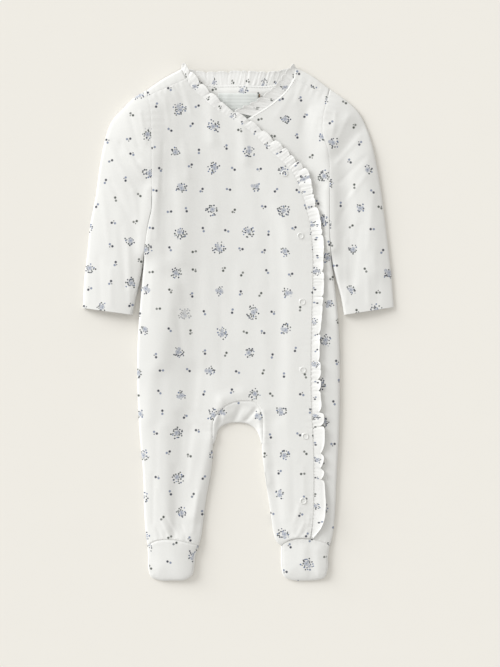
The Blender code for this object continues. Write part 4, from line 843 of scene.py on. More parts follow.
def print_of(tree, x, y, seed):
    """The scattered sprigs of a staggered lattice, as a mask and a colour.

    Every other row of cells is shifted by half a cell.  Each cell has one motif, moved and
    turned by random numbers of the cell.  One cell of three has nearly always a posy of
    specks round a bloom, and the others have a sprig of two or three leaves.  A spot is 1
    where the distance to its middle is less than its radius.
    """
    look = suit().print
    wide, high = look.repeat_x / MM, look.repeat_y / MM
    row = (y / high).math("FLOOR")
    odd = (row * 0.5).math("FRACT")
    slide = odd + (random_of(tree, row, seed)[0] - 0.5) * MOTIFS["slide"]
    column = (x / wide + slide).math("FLOOR")
    kind = (column - (row * 0.5 + 0.5).math("FLOOR") - row + 3000.0).math("MODULO", 3.0)
    random = random_of(tree, column, row, seed)
    other = random_of(tree, column, row, seed + 5.0)
    posy = kind.below(0.5) * other[0].below(MOTIFS["posies"])
    stray = look.stray / MM
    u = x - (column + 0.5 - slide) * wide - (random[0] - 0.5) * (2 * stray)
    v = y - (row + 0.5) * high - (random[1] - 0.5) * (1.5 * stray)
    turn = random[2] * (2 * math.pi)
    cos, sin = turn.math("COSINE"), turn.math("SINE")
    u, v = (u * cos + v * sin) / look.motif, (v * cos - u * sin) / look.motif

    # posy: round specks about one soft bloom, in half of them beside a smaller one
    reach = other[2] * MOTIFS["posy_more"] + MOTIFS["posy"]
    gap, tone, far = specks_of(tree, u, v * 0.9, other[1] * 90.0, MOTIFS["specks"])
    share = far / reach
    aside = u - (other[0] - 0.5) * MOTIFS["stray"]
    bloom = length_of(aside, v - (random[0] - 0.5) * MOTIFS["stray"])
    smaller = length_of(aside + 3.9, v + 1.6) + other[1].below(MOTIFS["single"]) * 9.0
    petals = specks_of(tree, u, v, other[1] * 50.0, MOTIFS["petals"])[0]
    petal = petals.below(*SPOTS["petal"])
    blooms = bloom.below(*SPOTS["bloom"]).most(smaller.below(*SPOTS["small_bloom"]))
    core = bloom.below(*SPOTS["core"])
    kept = (tone[1] + share * share * 0.5).below(1.02) * share.below(1.0)
    specks = (gap - tone[0] * 0.35).below(*SPOTS["speck"]) * kept * (1.0 - blooms * 0.85)
    posy_mask = specks.most(blooms * (petal * 0.32 + 0.36)).most(core * 0.8) * posy
    # sprig: two round leaves, often a third, and a faint stem
    first = length_of(u, v + 1.9).below(*SPOTS["first_leaf"])
    second = length_of(u - random[0] * MOTIFS["apart"], v - 1.9).below(*SPOTS["second_leaf"])
    third = length_of(u + 1.9, v - 0.8).below(*SPOTS["third_leaf"])
    third = third * other[1].below(MOTIFS["third_leaf"])
    stem = length_of(u / 0.4, v / 2.2).below(*SPOTS["stem"]) * 0.4
    sprig_mask = first.most(second * 0.85).most(third).most(stem) * (1.0 - posy)
    mask = posy_mask.most(sprig_mask)

    leaf = mixed(tree, tone[2].below(0.6, 0.05), look.leaf, look.slate)
    leaf = mixed(tree, tone[2].below(0.2, 0.05), leaf, look.blue)
    colour = mixed(tree, specks, look.blue, leaf)
    small = mixed(tree, second, look.slate, look.blue)
    small = mixed(tree, other[2].below(0.35, 0.05), small, look.leaf)
    return mask, mixed(tree, posy, small, colour)


def blank(name, values):
    """A new material, its node tree and its shader, with values on the shader's sockets."""
    material = bpy.data.materials.new(name)
    material.use_nodes = True
    tree = material.node_tree
    shader = tree.nodes["Principled BSDF"]
    for socket, value in values.items():
        shader.inputs[socket].default_value = value
    return material, tree, shader


def cloth_place(tree):
    """The piece's own places on the cloth, and their x and y in millimetres."""
    spot = tree.nodes.new("ShaderNodeUVMap")
    spot.uv_map = "cloth"
    x, y, _ = parts_of(tree, "XYZ", spot.outputs[0])
    return spot.outputs[0], x * (1.0 / MM), y * (1.0 / MM)


def waves_of(value, length):
    """The sine of a value, one wave for each length."""
    return (value * (2 * math.pi / length)).math("SINE")


def noise(tree, place, scale):
    """Smooth random value at a place."""
    node = tree.nodes.new("ShaderNodeTexNoise")
    node.inputs["Scale"].default_value = scale
    node.inputs["Detail"].default_value = 2.0
    tree.links.new(place, node.inputs["Vector"])
    return Number(tree, node.outputs[0])


def toned(tree, colour, tone):
    """A colour made darker or lighter by a value."""
    shade = tree.nodes.new("ShaderNodeVectorMath")
    shade.operation = "SCALE"
    shade.inputs[0].default_value = colour[:3]
    tree.links.new(tone.socket, shade.inputs["Scale"])
    return shade.outputs[0]


def bump(tree, shader, height, relief):
    """Raise the surface by the height, in units of the relief in millimetres."""
    node = tree.nodes.new("ShaderNodeBump")
    node.inputs["Strength"].default_value = 0.5
    node.inputs["Distance"].default_value = relief * MM
    tree.links.new(height.socket, node.inputs["Height"])
    tree.links.new(node.outputs[0], shader.inputs["Normal"])


def knit(name, colour, seed):
    """Fine jersey: upright wales and short courses, a soft sheen, and the print on it."""
    material, tree, shader = blank(name, {"Roughness": 0.88, "Sheen Weight": 0.25,
                                          "Sheen Roughness": 0.6, "Specular IOR Level": 0.25})
    place, x, y = cloth_place(tree)
    ribs = waves_of(x, 1.0)
    loops = (y * (2 * math.pi / 0.8) + ribs * 1.2).math("SINE")
    cloud, grain = noise(tree, place, 45.0), noise(tree, place, 900.0)
    tone = (cloud - 0.5) * 0.035 + (grain - 0.5) * 0.07 + ribs * 0.008 + 1.0
    mask, ink = print_of(tree, x, y, seed)
    share = mask * (grain * 0.35 + suit().print.strength - 0.17)
    tree.links.new(mixed(tree, share, toned(tree, colour, tone), ink),
                   shader.inputs["Base Color"])
    bump(tree, shader, ribs * 0.5 + loops * 0.35 + grain * 1.2 + cloud * 2.0, 0.12)
    return material


def plain(name, colour, roughness, scale, mottle, relief, sheen=0.0, coat=0.0):
    """One colour with a fine grain in its tone and relief."""
    material, tree, shader = blank(name, {"Roughness": roughness, "Sheen Weight": sheen,
                                          "Coat Weight": coat})
    spot = tree.nodes.new("ShaderNodeTexCoord")
    grain = noise(tree, spot.outputs["Object"], scale)
    tree.links.new(toned(tree, colour, (grain - 0.5) * mottle + 1.0),
                   shader.inputs["Base Color"])
    bump(tree, shader, grain, relief)
    return material


def woven_label():
    """Label tape: fine ribs one way, finer ones across them and broad bands, left bare."""
    material, tree, shader = blank("label tape", {"Roughness": 0.6, "Sheen Weight": 0.2})
    _, x, y = cloth_place(tree)
    ribs, bands, cross = waves_of(y, 0.9), waves_of(y, 3.7), waves_of(x, 0.6)
    share = (bands * 0.5 + 0.5) * 0.8 + ribs * 0.1 + cross * 0.05
    tape = suit().print.tape
    dark = [0.86 * c for c in tape[:3]]
    tree.links.new(mixed(tree, share, tape, dark), shader.inputs["Base Color"])
    bump(tree, shader, ribs + cross * 0.5, 0.12)
    return material


# ---------------------------------------------------------------- fronts and back

def bottom_row(start, arch, end, parts):
    """Last row of a torso: straight to the crotch seam, over its top, straight to the end."""
    first, last = (part / part[-1] for part in parts)
    return np.concatenate([line(start, arch[0], first), arch[1:], line(arch[-1], end, last)[1:]])


def finish(item, nodes, rests_on=()):
    """Hide the imported solids that the piece stands for."""
    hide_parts(*nodes)
    return item


def layer(level, grid, *place):
    """A patch: a grid at the height of its layer, and its place on the printed cloth."""
    return with_height(grid, level(grid)), turned(grid, *place)


def over_level(points, sewn=True):
    """Height of the upper front, which is raised over the lower one."""
    return top_level(points, lap(points), sewn)


def front_over(wall, material):
    """Upper front: from the shoulder seam and right side to the wrap edge and both ankles.

    Straight rows run from edge to edge, at the height of the raised top layer.
    """
    edge, edge_leg = edge_rows("right")
    wrap, wrap_leg = rows_down(CURVE["wrap"], CURVE["wrap"][0, 1], CURVE["wrap"][-1, 1])
    arch = arch_points()
    right_part = divide(arch[0, 0] - edge[-1, 0])
    left_part = divide(wrap[-1, 0] - arch[-1, 0])
    bottom = bottom_row(edge[-1], arch, wrap[-1], (right_part, left_part))
    torso = weave(edge, wrap, spread(bottom[:, 0] - bottom[0, 0]), bottom=bottom)
    ankle = CURVE["ankle_right"]
    right = weave(edge_leg, inner_rows("right"), spread(right_part), bottom[:len(right_part)],
                  along(ankle, spread(right_part)(run_of(ankle)[-1])))
    ankle = CURVE["ankle_left"][::-1]
    ankle = ankle[ankle[:, 0] <= wrap_leg[-1, 0]]
    left = weave(inner_rows("left"), wrap_leg, spread(left_part), bottom[-len(left_part):],
                 along(ankle, spread(left_part)(run_of(ankle)[-1])))
    patches = [layer(over_level, grid) for grid in (torso, right, left)]
    item = piece("upper_front", patches, material, wall)
    return finish(item, ["front_over"],
                  ["lower_front", "back"])


def front_under(wall, material):
    """Lower front: from the left side to its edge, which the upper front hides.

    Straight rows run from edge to edge, at the height of the top layer.
    """
    edge, edge_leg = edge_rows("left")
    hidden, hidden_leg = rows_down(CURVE["under"], CURVE["under"][0, 1], CURVE["under"][-1, 1])
    ankle = CURVE["ankle_left"][::-1]
    ankle = ankle[ankle[:, 0] >= hidden_leg[-1, 0]]
    shares = spread(divide(SPAN["lower_front"], first=False), first=False)
    grid = weave(np.vstack([hidden, hidden_leg[1:]]), np.vstack([edge, edge_leg[1:]]),
                 shares, bottom=along(ankle, shares(run_of(ankle)[-1])), reach=0.1)
    item = piece("lower_front", [layer(top_level, grid, 0.0, CUT["lower_front"])], material,
                 wall)
    return finish(item, ["front_under"], ["back"])


def back(wall, material):
    """Back: body and both legs on the table, turned over at the shoulders.

    Straight rows run from side to side at the height of the layer on the table, and from the
    fold to the seam of each shoulder at that of the top layer.
    """
    right, right_leg = edge_rows("right")
    left, left_leg = edge_rows("left")
    shoulder = np.linspace(0.0, 1.0, SHOULDER_LINES)
    neck = even_run(CURVE["neck"], 3.0)
    top = np.concatenate([along(CURVE["fold_right"][::-1], shoulder), neck[1:],
                          along(CURVE["fold_left"], shoulder)[1:]])
    arch = arch_points()
    parts = [divide(arch[0, 0] - right[-1, 0], pitch=BACK_PITCH),
             divide(left[-1, 0] - arch[-1, 0], pitch=BACK_PITCH)]
    middle = len(top) - len(parts[0]) - len(parts[1]) + 2
    arch = along(arch, np.linspace(0.0, 1.0, middle))
    bottom = bottom_row(right[-1], arch, left[-1], parts)
    torso = weave(np.vstack([top[:1], right]), np.vstack([top[-1:], left]),
                  spread(bottom[:, 0] - bottom[0, 0]), top, bottom)
    legs = [weave(right_leg, inner_rows("right"), spread(parts[0]), bottom[:len(parts[0])]),
            weave(inner_rows("left"), left_leg, spread(parts[1]), bottom[-len(parts[1]):])]
    patches = [layer(back_level, grid, 0.0, CUT["back"]) for grid in [torso] + legs]
    for half in SIGN:
        fold = along(CURVE["fold_" + half], shoulder)
        seam = along(CURVE["seam_" + half], shoulder)
        columns = divide(SPAN["shoulder"], pitch=1.0)
        part = (columns / columns[-1])[None, :, None]
        over = fold[:, None] * (1 - part) + seam[:, None] * part
        patches.append(layer(top_level, over, 0.0, CUT["back"]))
    item = piece("back", patches, material, wall, up=False)
    return finish(item, ["back_panel"], [])


# ---------------------------------------------------------------- sleeves, gusset, feet

def sleeve(half, wall, material):
    """A flat tube: straight rows between its folded edges, at both layers' heights."""
    outer_edge, inner_edge = SLEEVE_EDGES[half][:, :2], SLEEVE_EDGES[half][:, 2:]
    armhole = armhole_line(half)
    open_rows = len(armhole) - 3
    arm = spread(divide(SPAN["arm"], first=False), first=False)(run_of(inner_edge)[-1])
    shares = np.concatenate([np.linspace(0.001, SLEEVE_SHARE, open_rows, endpoint=False),
                             SLEEVE_SHARE + (1 - SLEEVE_SHARE) * arm])
    outer = along(outer_edge, shares)
    inner = np.vstack([armhole[2:-1], along(inner_edge, arm)])
    across = spread(divide(SPAN["sleeve"]))
    cap = np.vstack([outer[:1], armhole[1:3]])
    grid = weave(outer, inner, across, along(cap, across(run_of(cap)[-1])))
    turn, cut = SIGN[half] * CUT_TURN["sleeve"], CUT["sleeve_" + half]
    patches = [layer(top_level, grid, turn, cut),
               layer(back_level, grid, turn, (cut[0], CUT_LOWER["sleeve"]))]
    item = piece("sleeve_" + half + "_cloth", patches, material, wall, tube=True)
    return finish(item, ["sleeve_" + half], [])


def gusset(wall, material):
    """Crescent of the crotch: from the front seam over the fold to the seam at the back.

    Straight rows run from the fold to the seam, at both layers' heights.
    """
    right, left = inner_rows("right"), inner_rows("left")
    ends = LINES["crotch_seam"]
    right = right[right[:, 1] > ends[0][1]][1:][::-1]
    left = left[left[:, 1] > ends[-1][1]][1:]
    seam = np.vstack([right, arch_points(), left])
    run = run_of(seam)
    fold = along(CURVE["crotch_fold"], 0.03 + 0.94 * run / run[-1])
    part = (divide(SPAN["gusset"], pitch=3.0) / SPAN["gusset"])[None, :, None]
    grid = fold[:, None] * (1 - part) + seam[:, None] * part
    turn, cut = CUT_TURN["gusset"], CUT["gusset"]
    patches = [layer(top_level, grid, turn, cut),
               layer(back_level, grid, turn, (cut[0], CUT_LOWER["gusset"]))]
    item = piece("crotch_gusset", patches, material, wall, tube=True)
    return finish(item, ["gusset"], [])


def foot_grid(half, inset, top):
    """A grid over a foot, from a row at its heel or ankle down to its toe."""
    outline = CURVE["foot_" + half]
    first, last = corners_of(outline, LINES["foot_" + half])
    outline = shifted(outline, SIGN[half] * inset)
    outer, toe, inner = outline[:first + 1], outline[first:last + 1], outline[last:]
    outer = np.vstack([top[:1], outer[outer[:, 1] < top[0, 1] - 1.0]])
    inner = np.vstack([inner[inner[:, 1] < top[-1, 1] - 1.0], top[-1:]])
    return weave(along(outer, FOOT_DOWN), along(inner[::-1], FOOT_DOWN),
                 lambda width: np.broadcast_to(FOOT_ACROSS, (len(width), len(FOOT_ACROSS))),
                 top, along(toe, FOOT_ACROSS), reach=0.6)


def rim_of(grid):
    """The sides and the last row of a grid, going round."""
    return np.concatenate([grid[:, 0], grid[-1, 1:-1], grid[::-1, -1]])


def foot(half, wall, material):
    """Sole and foot top: the sole turns up round the toes to the seam with the top.

    The sole is a grid on the table, and its rim moved inwards by the turn at the height of
    the top layer.  The foot top is a grid inside that rim.
    """
    cut, ankle = CUT["foot_" + half], CURVE["ankle_" + half]
    outer, inner = at_heights(SIDE[half], [HEEL])[0], at_heights(INSEAM_EDGE[half], [HEEL])[0]
    plate = foot_grid(half, 0.0, line(outer, inner, FOOT_ACROSS))
    step = unit(inner - outer) * SOLE_TURN
    inset_plate = foot_grid(half, SOLE_TURN, line(outer + step, inner - step, FOOT_ACROSS))
    inward = unit(rim_of(inset_plate) - rim_of(plate))[:, None]
    distances = np.array(SOLE_LINES) * SOLE_TURN / SOLE_LINES[-1]
    over = rim_of(plate)[:, None] + inward * distances[None, :, None]
    patches = [layer(back_level, plate, 0.0, cut),
               layer(top_level, over, 0.0, (cut[0], CUT_LOWER["sole"]))]
    sole = piece("sole_" + half + "_cloth", patches, material, wall, tube=True)
    finish(sole, ["sole_" + half], [])
    inset = SOLE_TURN / run_of(ankle)[-1]
    grid = foot_grid(half, SOLE_TURN, along(ankle, inset + (1 - 2 * inset) * FOOT_ACROSS))
    patch = layer(top_level, grid, CUT_TURN["vamp"], (cut[0], CUT_LOWER["vamp"]))
    vamp = piece("vamp_" + half + "_cloth", [patch], material, wall)
    finish(vamp, ["vamp_" + half],
           ["sole_" + half + "_cloth"])


# ---------------------------------------------------------------- frills

def faded(run, place, extent, share=1.0):
    """1 before a place on the run, less by the share after a further extent."""
    return 1.0 - share * smooth_step((run - place) / extent)


def frill(seam, free, tucks, level, calm=(False, False), stand=1.0, taper=0.0):
    """A gathered strip: low at each tuck, a lobe between two tucks, highest at its free edge.

    Each tuck is a share of the seam, a share of the free edge and a depth.  Let w be the way
    from one tuck to the next.  A lobe is the sine of pi times w to the power of the lean, to
    the power of the fullness, and less where a tuck is shallow.  The height is the lobe times
    the stand and two slow sines, and grows from the seam as a power of the way across.  The
    free edge draws in at each tuck by the scallop, and towards a deep tuck by the taper times
    a power of w.  Small gathers run out of the seam and die away, ripples grow to the free
    edge, the edge is rolled, and a calm end comes down flat.
    """
    look = suit().frill
    seam_shares, free_shares, depths = np.transpose(tucks)
    lobes = len(depths) - 1
    at = np.linspace(0.0, lobes, lobes * FRILL_STEPS + 1)
    number, way = np.arange(lobes + 1), at % 1.0
    depth = depths[np.round(at).astype(int)]
    after = depths[np.minimum(at.astype(int) + 1, lobes)]
    lobe = 1.0 - depth * (1.0 - np.sin(np.pi * way ** FRILL_LEAN) ** look.fullness)
    tall = sum((share * np.sin(pace * at + start) for share, pace, start in FRILL_TALL), 1.0)
    seam = along(seam, np.interp(at, number, seam_shares))
    free = along(free, np.interp(at, number, free_shares))
    run = run_of(seam)
    rise = np.ones(len(at))
    for distance, flat in zip((run, run[-1] - run), calm):
        if flat:
            rise *= smooth_step(distance / FRILL_CALM)
    across = FRILL_LINES
    place, extent, share = FRILL_TAPERED
    taper = taper * (1.0 - share * faded(run, place, extent))
    inward = look.scallop * (1.0 - lobe) + taper * after ** 2 * way ** FRILL_POWERS[1]
    drawn = 1.0 - inward[:, None, None] * across[None, :, None]
    grid = seam[:, None] + (free - seam)[:, None] * across[None, :, None] * drawn
    lift = (FRILL_LOW + look.lift / MM * lobe * tall) * rise * stand
    height = level(grid) + lift[:, None] * across ** FRILL_POWERS[0]
    gathers = wavering(run, *WAVERS["gather"]) * (0.65 + 0.35 * np.sin(run / 9.0))
    fading, whole = FRILL_GATHER
    gathers = gathers[:, None] * np.exp(-across * fading) * smooth_step(across / whole)
    ripples = wavering(run, *WAVERS["ripple"]) * (0.5 + 0.5 * np.sin(run / 13.0 + 1.0))
    ripples += 0.6 * wavering(run, *WAVERS["crimp"])
    ripples = (ripples * faded(run, *FRILL_CRIMPED))[:, None] * across
    height += look.gathers / MM * (gathers + FRILL_RIPPLE * ripples) * rise[:, None]
    rolled, start, width = FRILL_ROLLED
    height += rolled * smooth_step((across - start) / width)
    return grid, height, run, across


def frill_piece(name, solid_name, rolls, wall, material, rests_on):
    """Finish a frill: its cloth runs on faster than its seam, as it is gathered."""
    grid, height, run, across = rolls
    wide = np.linalg.norm(grid[:, -1] - grid[:, 0], axis=1).mean()
    x, y = CUT["frill"]
    places = np.stack(np.broadcast_arrays(run[:, None] * FRILL_FULL + x, across * wide + y), -1)
    item = piece(name, [(with_height(grid, height), places)], material, wall)
    return finish(item, [solid_name], rests_on)


def frill_seam(name, shoulder):
    """Where a front frill is sewn: over the shoulder, then beside the front's own edge."""
    way = -FRILL_INSET if name == "wrap" else FRILL_INSET
    return shifted(even_run(np.vstack([shoulder, CURVE[name]])), way)


def share_at(curve, heights):
    """Shares of a falling curve's length at the given heights."""
    return np.interp(-np.array(heights), -curve[:, 1], run_of(curve) / run_of(curve)[-1])


def frills(wall, material):
    """The three gathered strips of the neck and wrap edges."""
    seam = frill_seam("wrap", line(CURVE["fold_right"][0], CURVE["wrap"][0], [0.05, 0.35, 0.65]))
    free = CURVE["frill_wrap_free"]
    on_seam, on_free, depths = np.transpose(WRAP_TUCKS)
    tucks = np.transpose([share_at(seam, on_seam), share_at(free, on_free),
                          depths ** TUCK_POWER])
    tucks = np.vstack([(0.0, 0.0, 1.0), tucks, (1.0, 1.0, 1.0)])
    rolls = frill(seam, free, tucks, lambda grid: over_level(grid, False) - FRILL_SUNK,
                  taper=suit().frill.taper)
    frill_piece("wrap_frill", "frill_wrap", rolls, wall, material,
                ["upper_front", "lower_front"])
    under = frill_seam("under", line(CURVE["fold_left"][0], CURVE["under"][0], [0.05, 0.5]))
    tucks = [(share, share, depth) for share, depth in UNDER_TUCKS]
    rolls = frill(under[under[:, 1] > UNDER_FRILL_LOW], CURVE["frill_under_free"], tucks,
                  lambda grid: top_level(grid, sewn=False) - FRILL_SUNK,
                  calm=(False, True), stand=0.8)
    frill_piece("under_frill", "frill_under", rolls, wall, material,
                ["lower_front"])
    neck = shifted(even_run(CURVE["neck"]), -FRILL_INSET)
    tucks = [(share, share + 0.02 * math.sin(40.0 * share), depth)
             for share, depth in BACK_TUCKS]
    rolls = frill(neck[np.abs(neck[:, 0]) < BACK_FRILL_HALF], CURVE["frill_back_free"], tucks,
                  lambda grid: back_level(grid) + BACK_FRILL_SEAT, calm=(True, True),
                  stand=0.5)
    frill_piece("back_frill", "frill_back", rolls, wall, material, ["back"])


# ---------------------------------------------------------------- snaps, label, sewing

def turned_ring(profile, centre, sides=40):
    """A profile of radius and height turned round an upright axis, closed on itself."""
    angle = np.linspace(0.0, 2 * np.pi, sides, endpoint=False)
    radius, height = np.transpose(profile)
    points = np.stack([centre[0] + radius[:, None] * np.cos(angle),
                       centre[1] + radius[:, None] * np.sin(angle),
                       centre[2] + np.broadcast_to(height[:, None], (len(profile), sides))], -1)
    number = np.arange(len(profile) * sides).reshape(len(profile), sides)
    return points.reshape(-1, 3), quads(np.pad(number, ((0, 1), (0, 1)), "wrap"))


def snaps(material):
    """Ring caps of the press fasteners: a round bead with a flat lip outside it."""
    outer, inner, high = SNAP_RING
    lip, foot_high = SNAP_LIP
    middle, half = 0.5 * (outer - lip + inner), 0.5 * (outer - lip - inner)
    bead = [(middle - half * math.cos(a), foot_high + (high - foot_high) * math.sin(a) ** 0.8)
            for a in np.linspace(0.0, np.pi, 9)]
    profile = [(inner, 0.0)] + bead + [(outer - 0.25, 0.3), (outer, 0.15), (outer, 0.0)]
    for number, (x, y) in enumerate(SNAPS, 1):
        circle = np.array([(x, y), (x + outer, y), (x - outer, y), (x, y + outer), (x, y - outer)])
        seat = over_level(circle).max() - SNAP_SUNK
        points, faces = turned_ring(profile, (x, y, seat))
        item = solid("cap_%d" % number, points, faces, material)
        finish(item, ["snap_%d" % number])


def label(material):
    """Plain woven label inside the back neck, its corners a little curled."""
    width, height, top = LABEL
    half = 0.5 * width
    x, y = np.meshgrid(np.linspace(-half, half, 40), np.linspace(top, top - height, 26))
    points = np.stack([x, y], axis=-1)
    level = back_level(points) + BACK_TOP + LABEL_SEAT + 0.2 * uneven(points, *WAVES["label"])
    curl, reach = LABEL_CURL
    lower = smooth_step((top - y) / height)
    level += curl * smooth_step((np.abs(x) - half + reach) / reach) * lower
    item = piece("neck_label", [(with_height(points, level), turned(points))], material,
                 LABEL_WALL)
    return finish(item, ["label"], ["back"])


def stitches(name, rows, material, thick=0.42, long=2.2, pitch=3.0):
    """Sewing thread: short rods along curves, each a six-sided bar with drawn-in ends.

    Each row is a curve seen from above, a sideways offset and a function that gives the
    height of the cloth.  A rod lies along the curve and dips at both ends.
    """
    turn = np.linspace(0.0, 2 * np.pi, 6, endpoint=False)
    reach = np.array((-0.5, -0.42, -0.2, 0.2, 0.42, 0.5)) * long
    girth = np.array((0.25, 0.8, 1.0, 1.0, 0.8, 0.25)) * 0.5 * thick
    dip = np.array((-0.3, -0.08, 0.1, 0.1, -0.08, -0.3))
    rods = []
    for curve, offset, level in rows:
        curve = shifted(even_run(curve), offset)
        total = run_of(curve)[-1]
        centre = np.arange(0.5 * pitch, total - 0.4 * pitch, pitch)
        at = (centre[:, None] + reach) / total
        place = along(curve, at.ravel()).reshape(at.shape + (2,))
        ahead = unit(place[:, -1] - place[:, 0])[:, None, None, :]
        side = np.stack([-ahead[..., 1], ahead[..., 0]], axis=-1)
        height = level(place) + THREAD_SEAT + dip
        wide = (girth[:, None] * np.cos(turn))[None, ..., None] * side
        high = height[:, :, None] + girth[:, None] * np.sin(turn)
        rods.append(with_height(place[:, :, None, :] + wide, high))
    rods = np.concatenate(rods)
    count, rings, sides = rods.shape[:3]
    ring = np.pad(np.arange(rings * sides).reshape(rings, sides), ((0, 0), (0, 1)), "wrap")
    first = np.arange(count)[:, None, None] * rings * sides
    bars = (quads(ring)[None] + first).reshape(-1, 4)
    caps = np.array([[3, 2, 1, 0], [5, 4, 3, 0]])
    caps = np.concatenate([caps, (rings - 1) * sides + caps[:, ::-1]])
    ends = (caps[None] + first).reshape(-1, 4)
    item = solid(name, rods.reshape(-1, 3), np.concatenate([bars, ends]), material)
    return item


def sewing(material):
    """Rows of stitches beside the seams and along the gathered edges."""
    wrap, under = CURVE["wrap"], CURVE["under"]
    rows = [(wrap[wrap[:, 1] < WRAP_SEAM_TOP], -SEWN_ASIDE, over_level),
            (under[under[:, 1] > UNDER_FRILL_LOW], SEWN_ASIDE, top_level)]
    for half, sign in SIGN.items():
        rows.append((CURVE["ankle_" + half], sign * SEWN_ASIDE, top_level))
    rows.append((crotch_parts()[1], CURVED_ASIDE, over_level))
    stitches("seam_stitches", rows, material)
    neck = CURVE["neck"]
    stitches("neck_stitches", [(neck[np.abs(neck[:, 0]) < NECK_SEWN_HALF], -CURVED_ASIDE,
                                lambda points: back_level(points) + BACK_TOP)], material)


def label_bar(material):
    """A short bar of dark satin stitches at the label's edge."""
    stitches("label_bar", [(np.array(LABEL_BAR), 0.0,
                            lambda points: back_level(points) + LABEL_BAR_SEAT)],
             material, thick=1.3, long=1.3, pitch=0.9)


# ---------------------------------------------------------------- stage

def stage(look):
    """Pale floor, soft light from the upper left, and a camera straight above."""
    x, y = np.meshgrid(*[np.linspace(-FLOOR_HALF, FLOOR_HALF, 3)] * 2)
    mesh = bpy.data.meshes.new("floor")
    mesh.from_pydata(with_height(np.stack([x, y], -1), 0.0).reshape(-1, 3).tolist(), [],
                     quads(np.arange(9).reshape(3, 3)).tolist())
    mesh.materials.append(plain("pale floor", look.floor, 0.9, 30.0, 0.01, 0.05))
    floor = bpy.data.objects.new("floor", mesh)
    bpy.context.scene.collection.objects.link(floor)

    scene = bpy.context.scene
    scene.view_settings.view_transform = "Standard"
    scene.view_settings.look = "None"
    world = bpy.data.worlds.new("studio")
    world.use_nodes = True
    sky = world.node_tree.nodes["Background"]
    sky.inputs["Color"].default_value = (*look.sky[:3], 1.0)
    sky.inputs["Strength"].default_value = look.sky_strength
    scene.world = world

    lamp = bpy.data.lights.new("window", "SUN")
    lamp.energy = look.lamp_power
    lamp.angle = look.lamp_width
    lamp.color = look.lamp[:3]
    item = bpy.data.objects.new("window", lamp)
    item.rotation_euler = (0.5 * math.pi - look.lamp_height, 0.0, look.lamp_turn)
    scene.collection.objects.link(item)

    eye = bpy.data.cameras.new("camera")
    eye.lens, eye.sensor_width = CAMERA_LENS
    eye.clip_start = 0.05
    camera = bpy.data.objects.new("camera", eye)
    camera.location = (*CAMERA_PLACE, look.camera_height)
    scene.collection.objects.link(camera)
    scene.camera = camera


# ---------------------------------------------------------------- the add-on

def number_property(name, description, default, **others):
    """A number that the user may change."""
    return bpy.props.FloatProperty(name=name, description=description, default=default, **others)


def length_property(name, description, default):
    """A length that the user may change, in metres."""
    return number_property(name, description, default, unit="LENGTH", min=0.0, precision=5)


def angle_property(name, description, degrees, **limits):
    """An angle that the user may change."""
    return number_property(name, description, math.radians(degrees), subtype="ANGLE", **limits)


def share_property(name, description, default, high):
    """A share that the user may change."""
    return number_property(name, description, default, subtype="FACTOR", min=0.0, max=high)


def colour_property(name, description, default):
    """A colour that the user may change."""
    return bpy.props.FloatVectorProperty(name=name, description=description, default=default,
                                         subtype="COLOR", size=3, min=0.0, max=1.0)


class SleepsuitCloth(bpy.types.PropertyGroup):
    """Sizes of the cloth"""
    wall: length_property("Wall", "Thickness of the knitted cloth", 0.0009)
    frill_wall: length_property("Frill wall", "Thickness of the frills' cloth", 0.0007)
    unevenness: length_property("Unevenness", "Height of the soft waves in the cloth", 0.0003)
    puckers: length_property("Puckers", "Height of the puckers beside a seam", 0.0003)
    colour: colour_property("Cloth colour", "Colour of the knitted cloth", (0.746, 0.744, 0.724))
    # the frills are the panels' printed knit; their colour is lighter than the cloth colour as
    # painted light, for the frills catching more light than the flat cloth
    frill_colour_painted_lighter: colour_property("Frill colour, painted lighter", "Colour of the frills", (0.80, 0.797, 0.780))
    thread: colour_property("Thread", "Colour of the sewing thread", (0.76, 0.756, 0.738))


class SleepsuitPrint(bpy.types.PropertyGroup):
    """The scattered print"""
    repeat_x: length_property("Spacing across", "Width of the print's cell", 0.027)
    repeat_y: length_property("Spacing down", "Height of the print's cell", 0.0234)
    stray: length_property("Stray", "How far a motif strays from its cell's middle", 0.0052)
    motif: number_property("Motif size", "Scale of each motif", 0.96, min=0.1, max=2.0)
    strength: share_property("Ink", "How much the ink covers", 0.95, 1.0)
    slate: colour_property("Slate", "Darkest ink", (0.022, 0.026, 0.048))
    blue: colour_property("Blue", "Ink of the blooms", (0.105, 0.150, 0.270))
    leaf: colour_property("Leaf", "Grey-green ink of the leaves", (0.055, 0.065, 0.055))
    tape: colour_property("Label", "Colour of the label tape", (0.76, 0.787, 0.765))


class SleepsuitFrill(bpy.types.PropertyGroup):
    """Sizes of the frills"""
    lift: length_property("Lift", "How high a lobe stands at the free edge", 0.0018)
    gathers: length_property("Gathers", "Height of the small gathers at the seam", 0.0004)
    fullness: number_property("Fullness", "Power of a lobe's sine", 0.55, min=0.2, max=2.0)
    scallop: share_property("Scallop", "How much the edge draws in at a tuck", 0.2, 0.5)
    taper: share_property("Taper", "How much a lobe of the wrap's frill narrows down its length",
                          0.3, 0.6)


class SleepsuitStage(bpy.types.PropertyGroup):
    """Floor, light and camera"""
    floor: colour_property("Floor", "Colour of the floor", (0.80, 0.777, 0.727))
    sky: colour_property("Sky", "Colour of the light all round", (1.0, 0.99, 0.965))
    lamp: colour_property("Lamp", "Colour of the window light", (0.975, 0.99, 1.0))
    sky_strength: number_property("Sky light", "Strength of the light all round", 0.75, min=0.0)
    lamp_power: number_property("Lamp power", "Strength of the window light", 3.2, min=0.0)
    lamp_width: angle_property("Lamp width", "Angle that the window fills", 34.0, min=0.0)
    lamp_height: angle_property("Lamp height", "Angle of the light above the table", 19.0)
    lamp_turn: angle_property("Lamp turn", "Turn of the light about the upright axis", -124.0)
    camera_height: length_property("Camera height", "Height of the camera", 1.815)


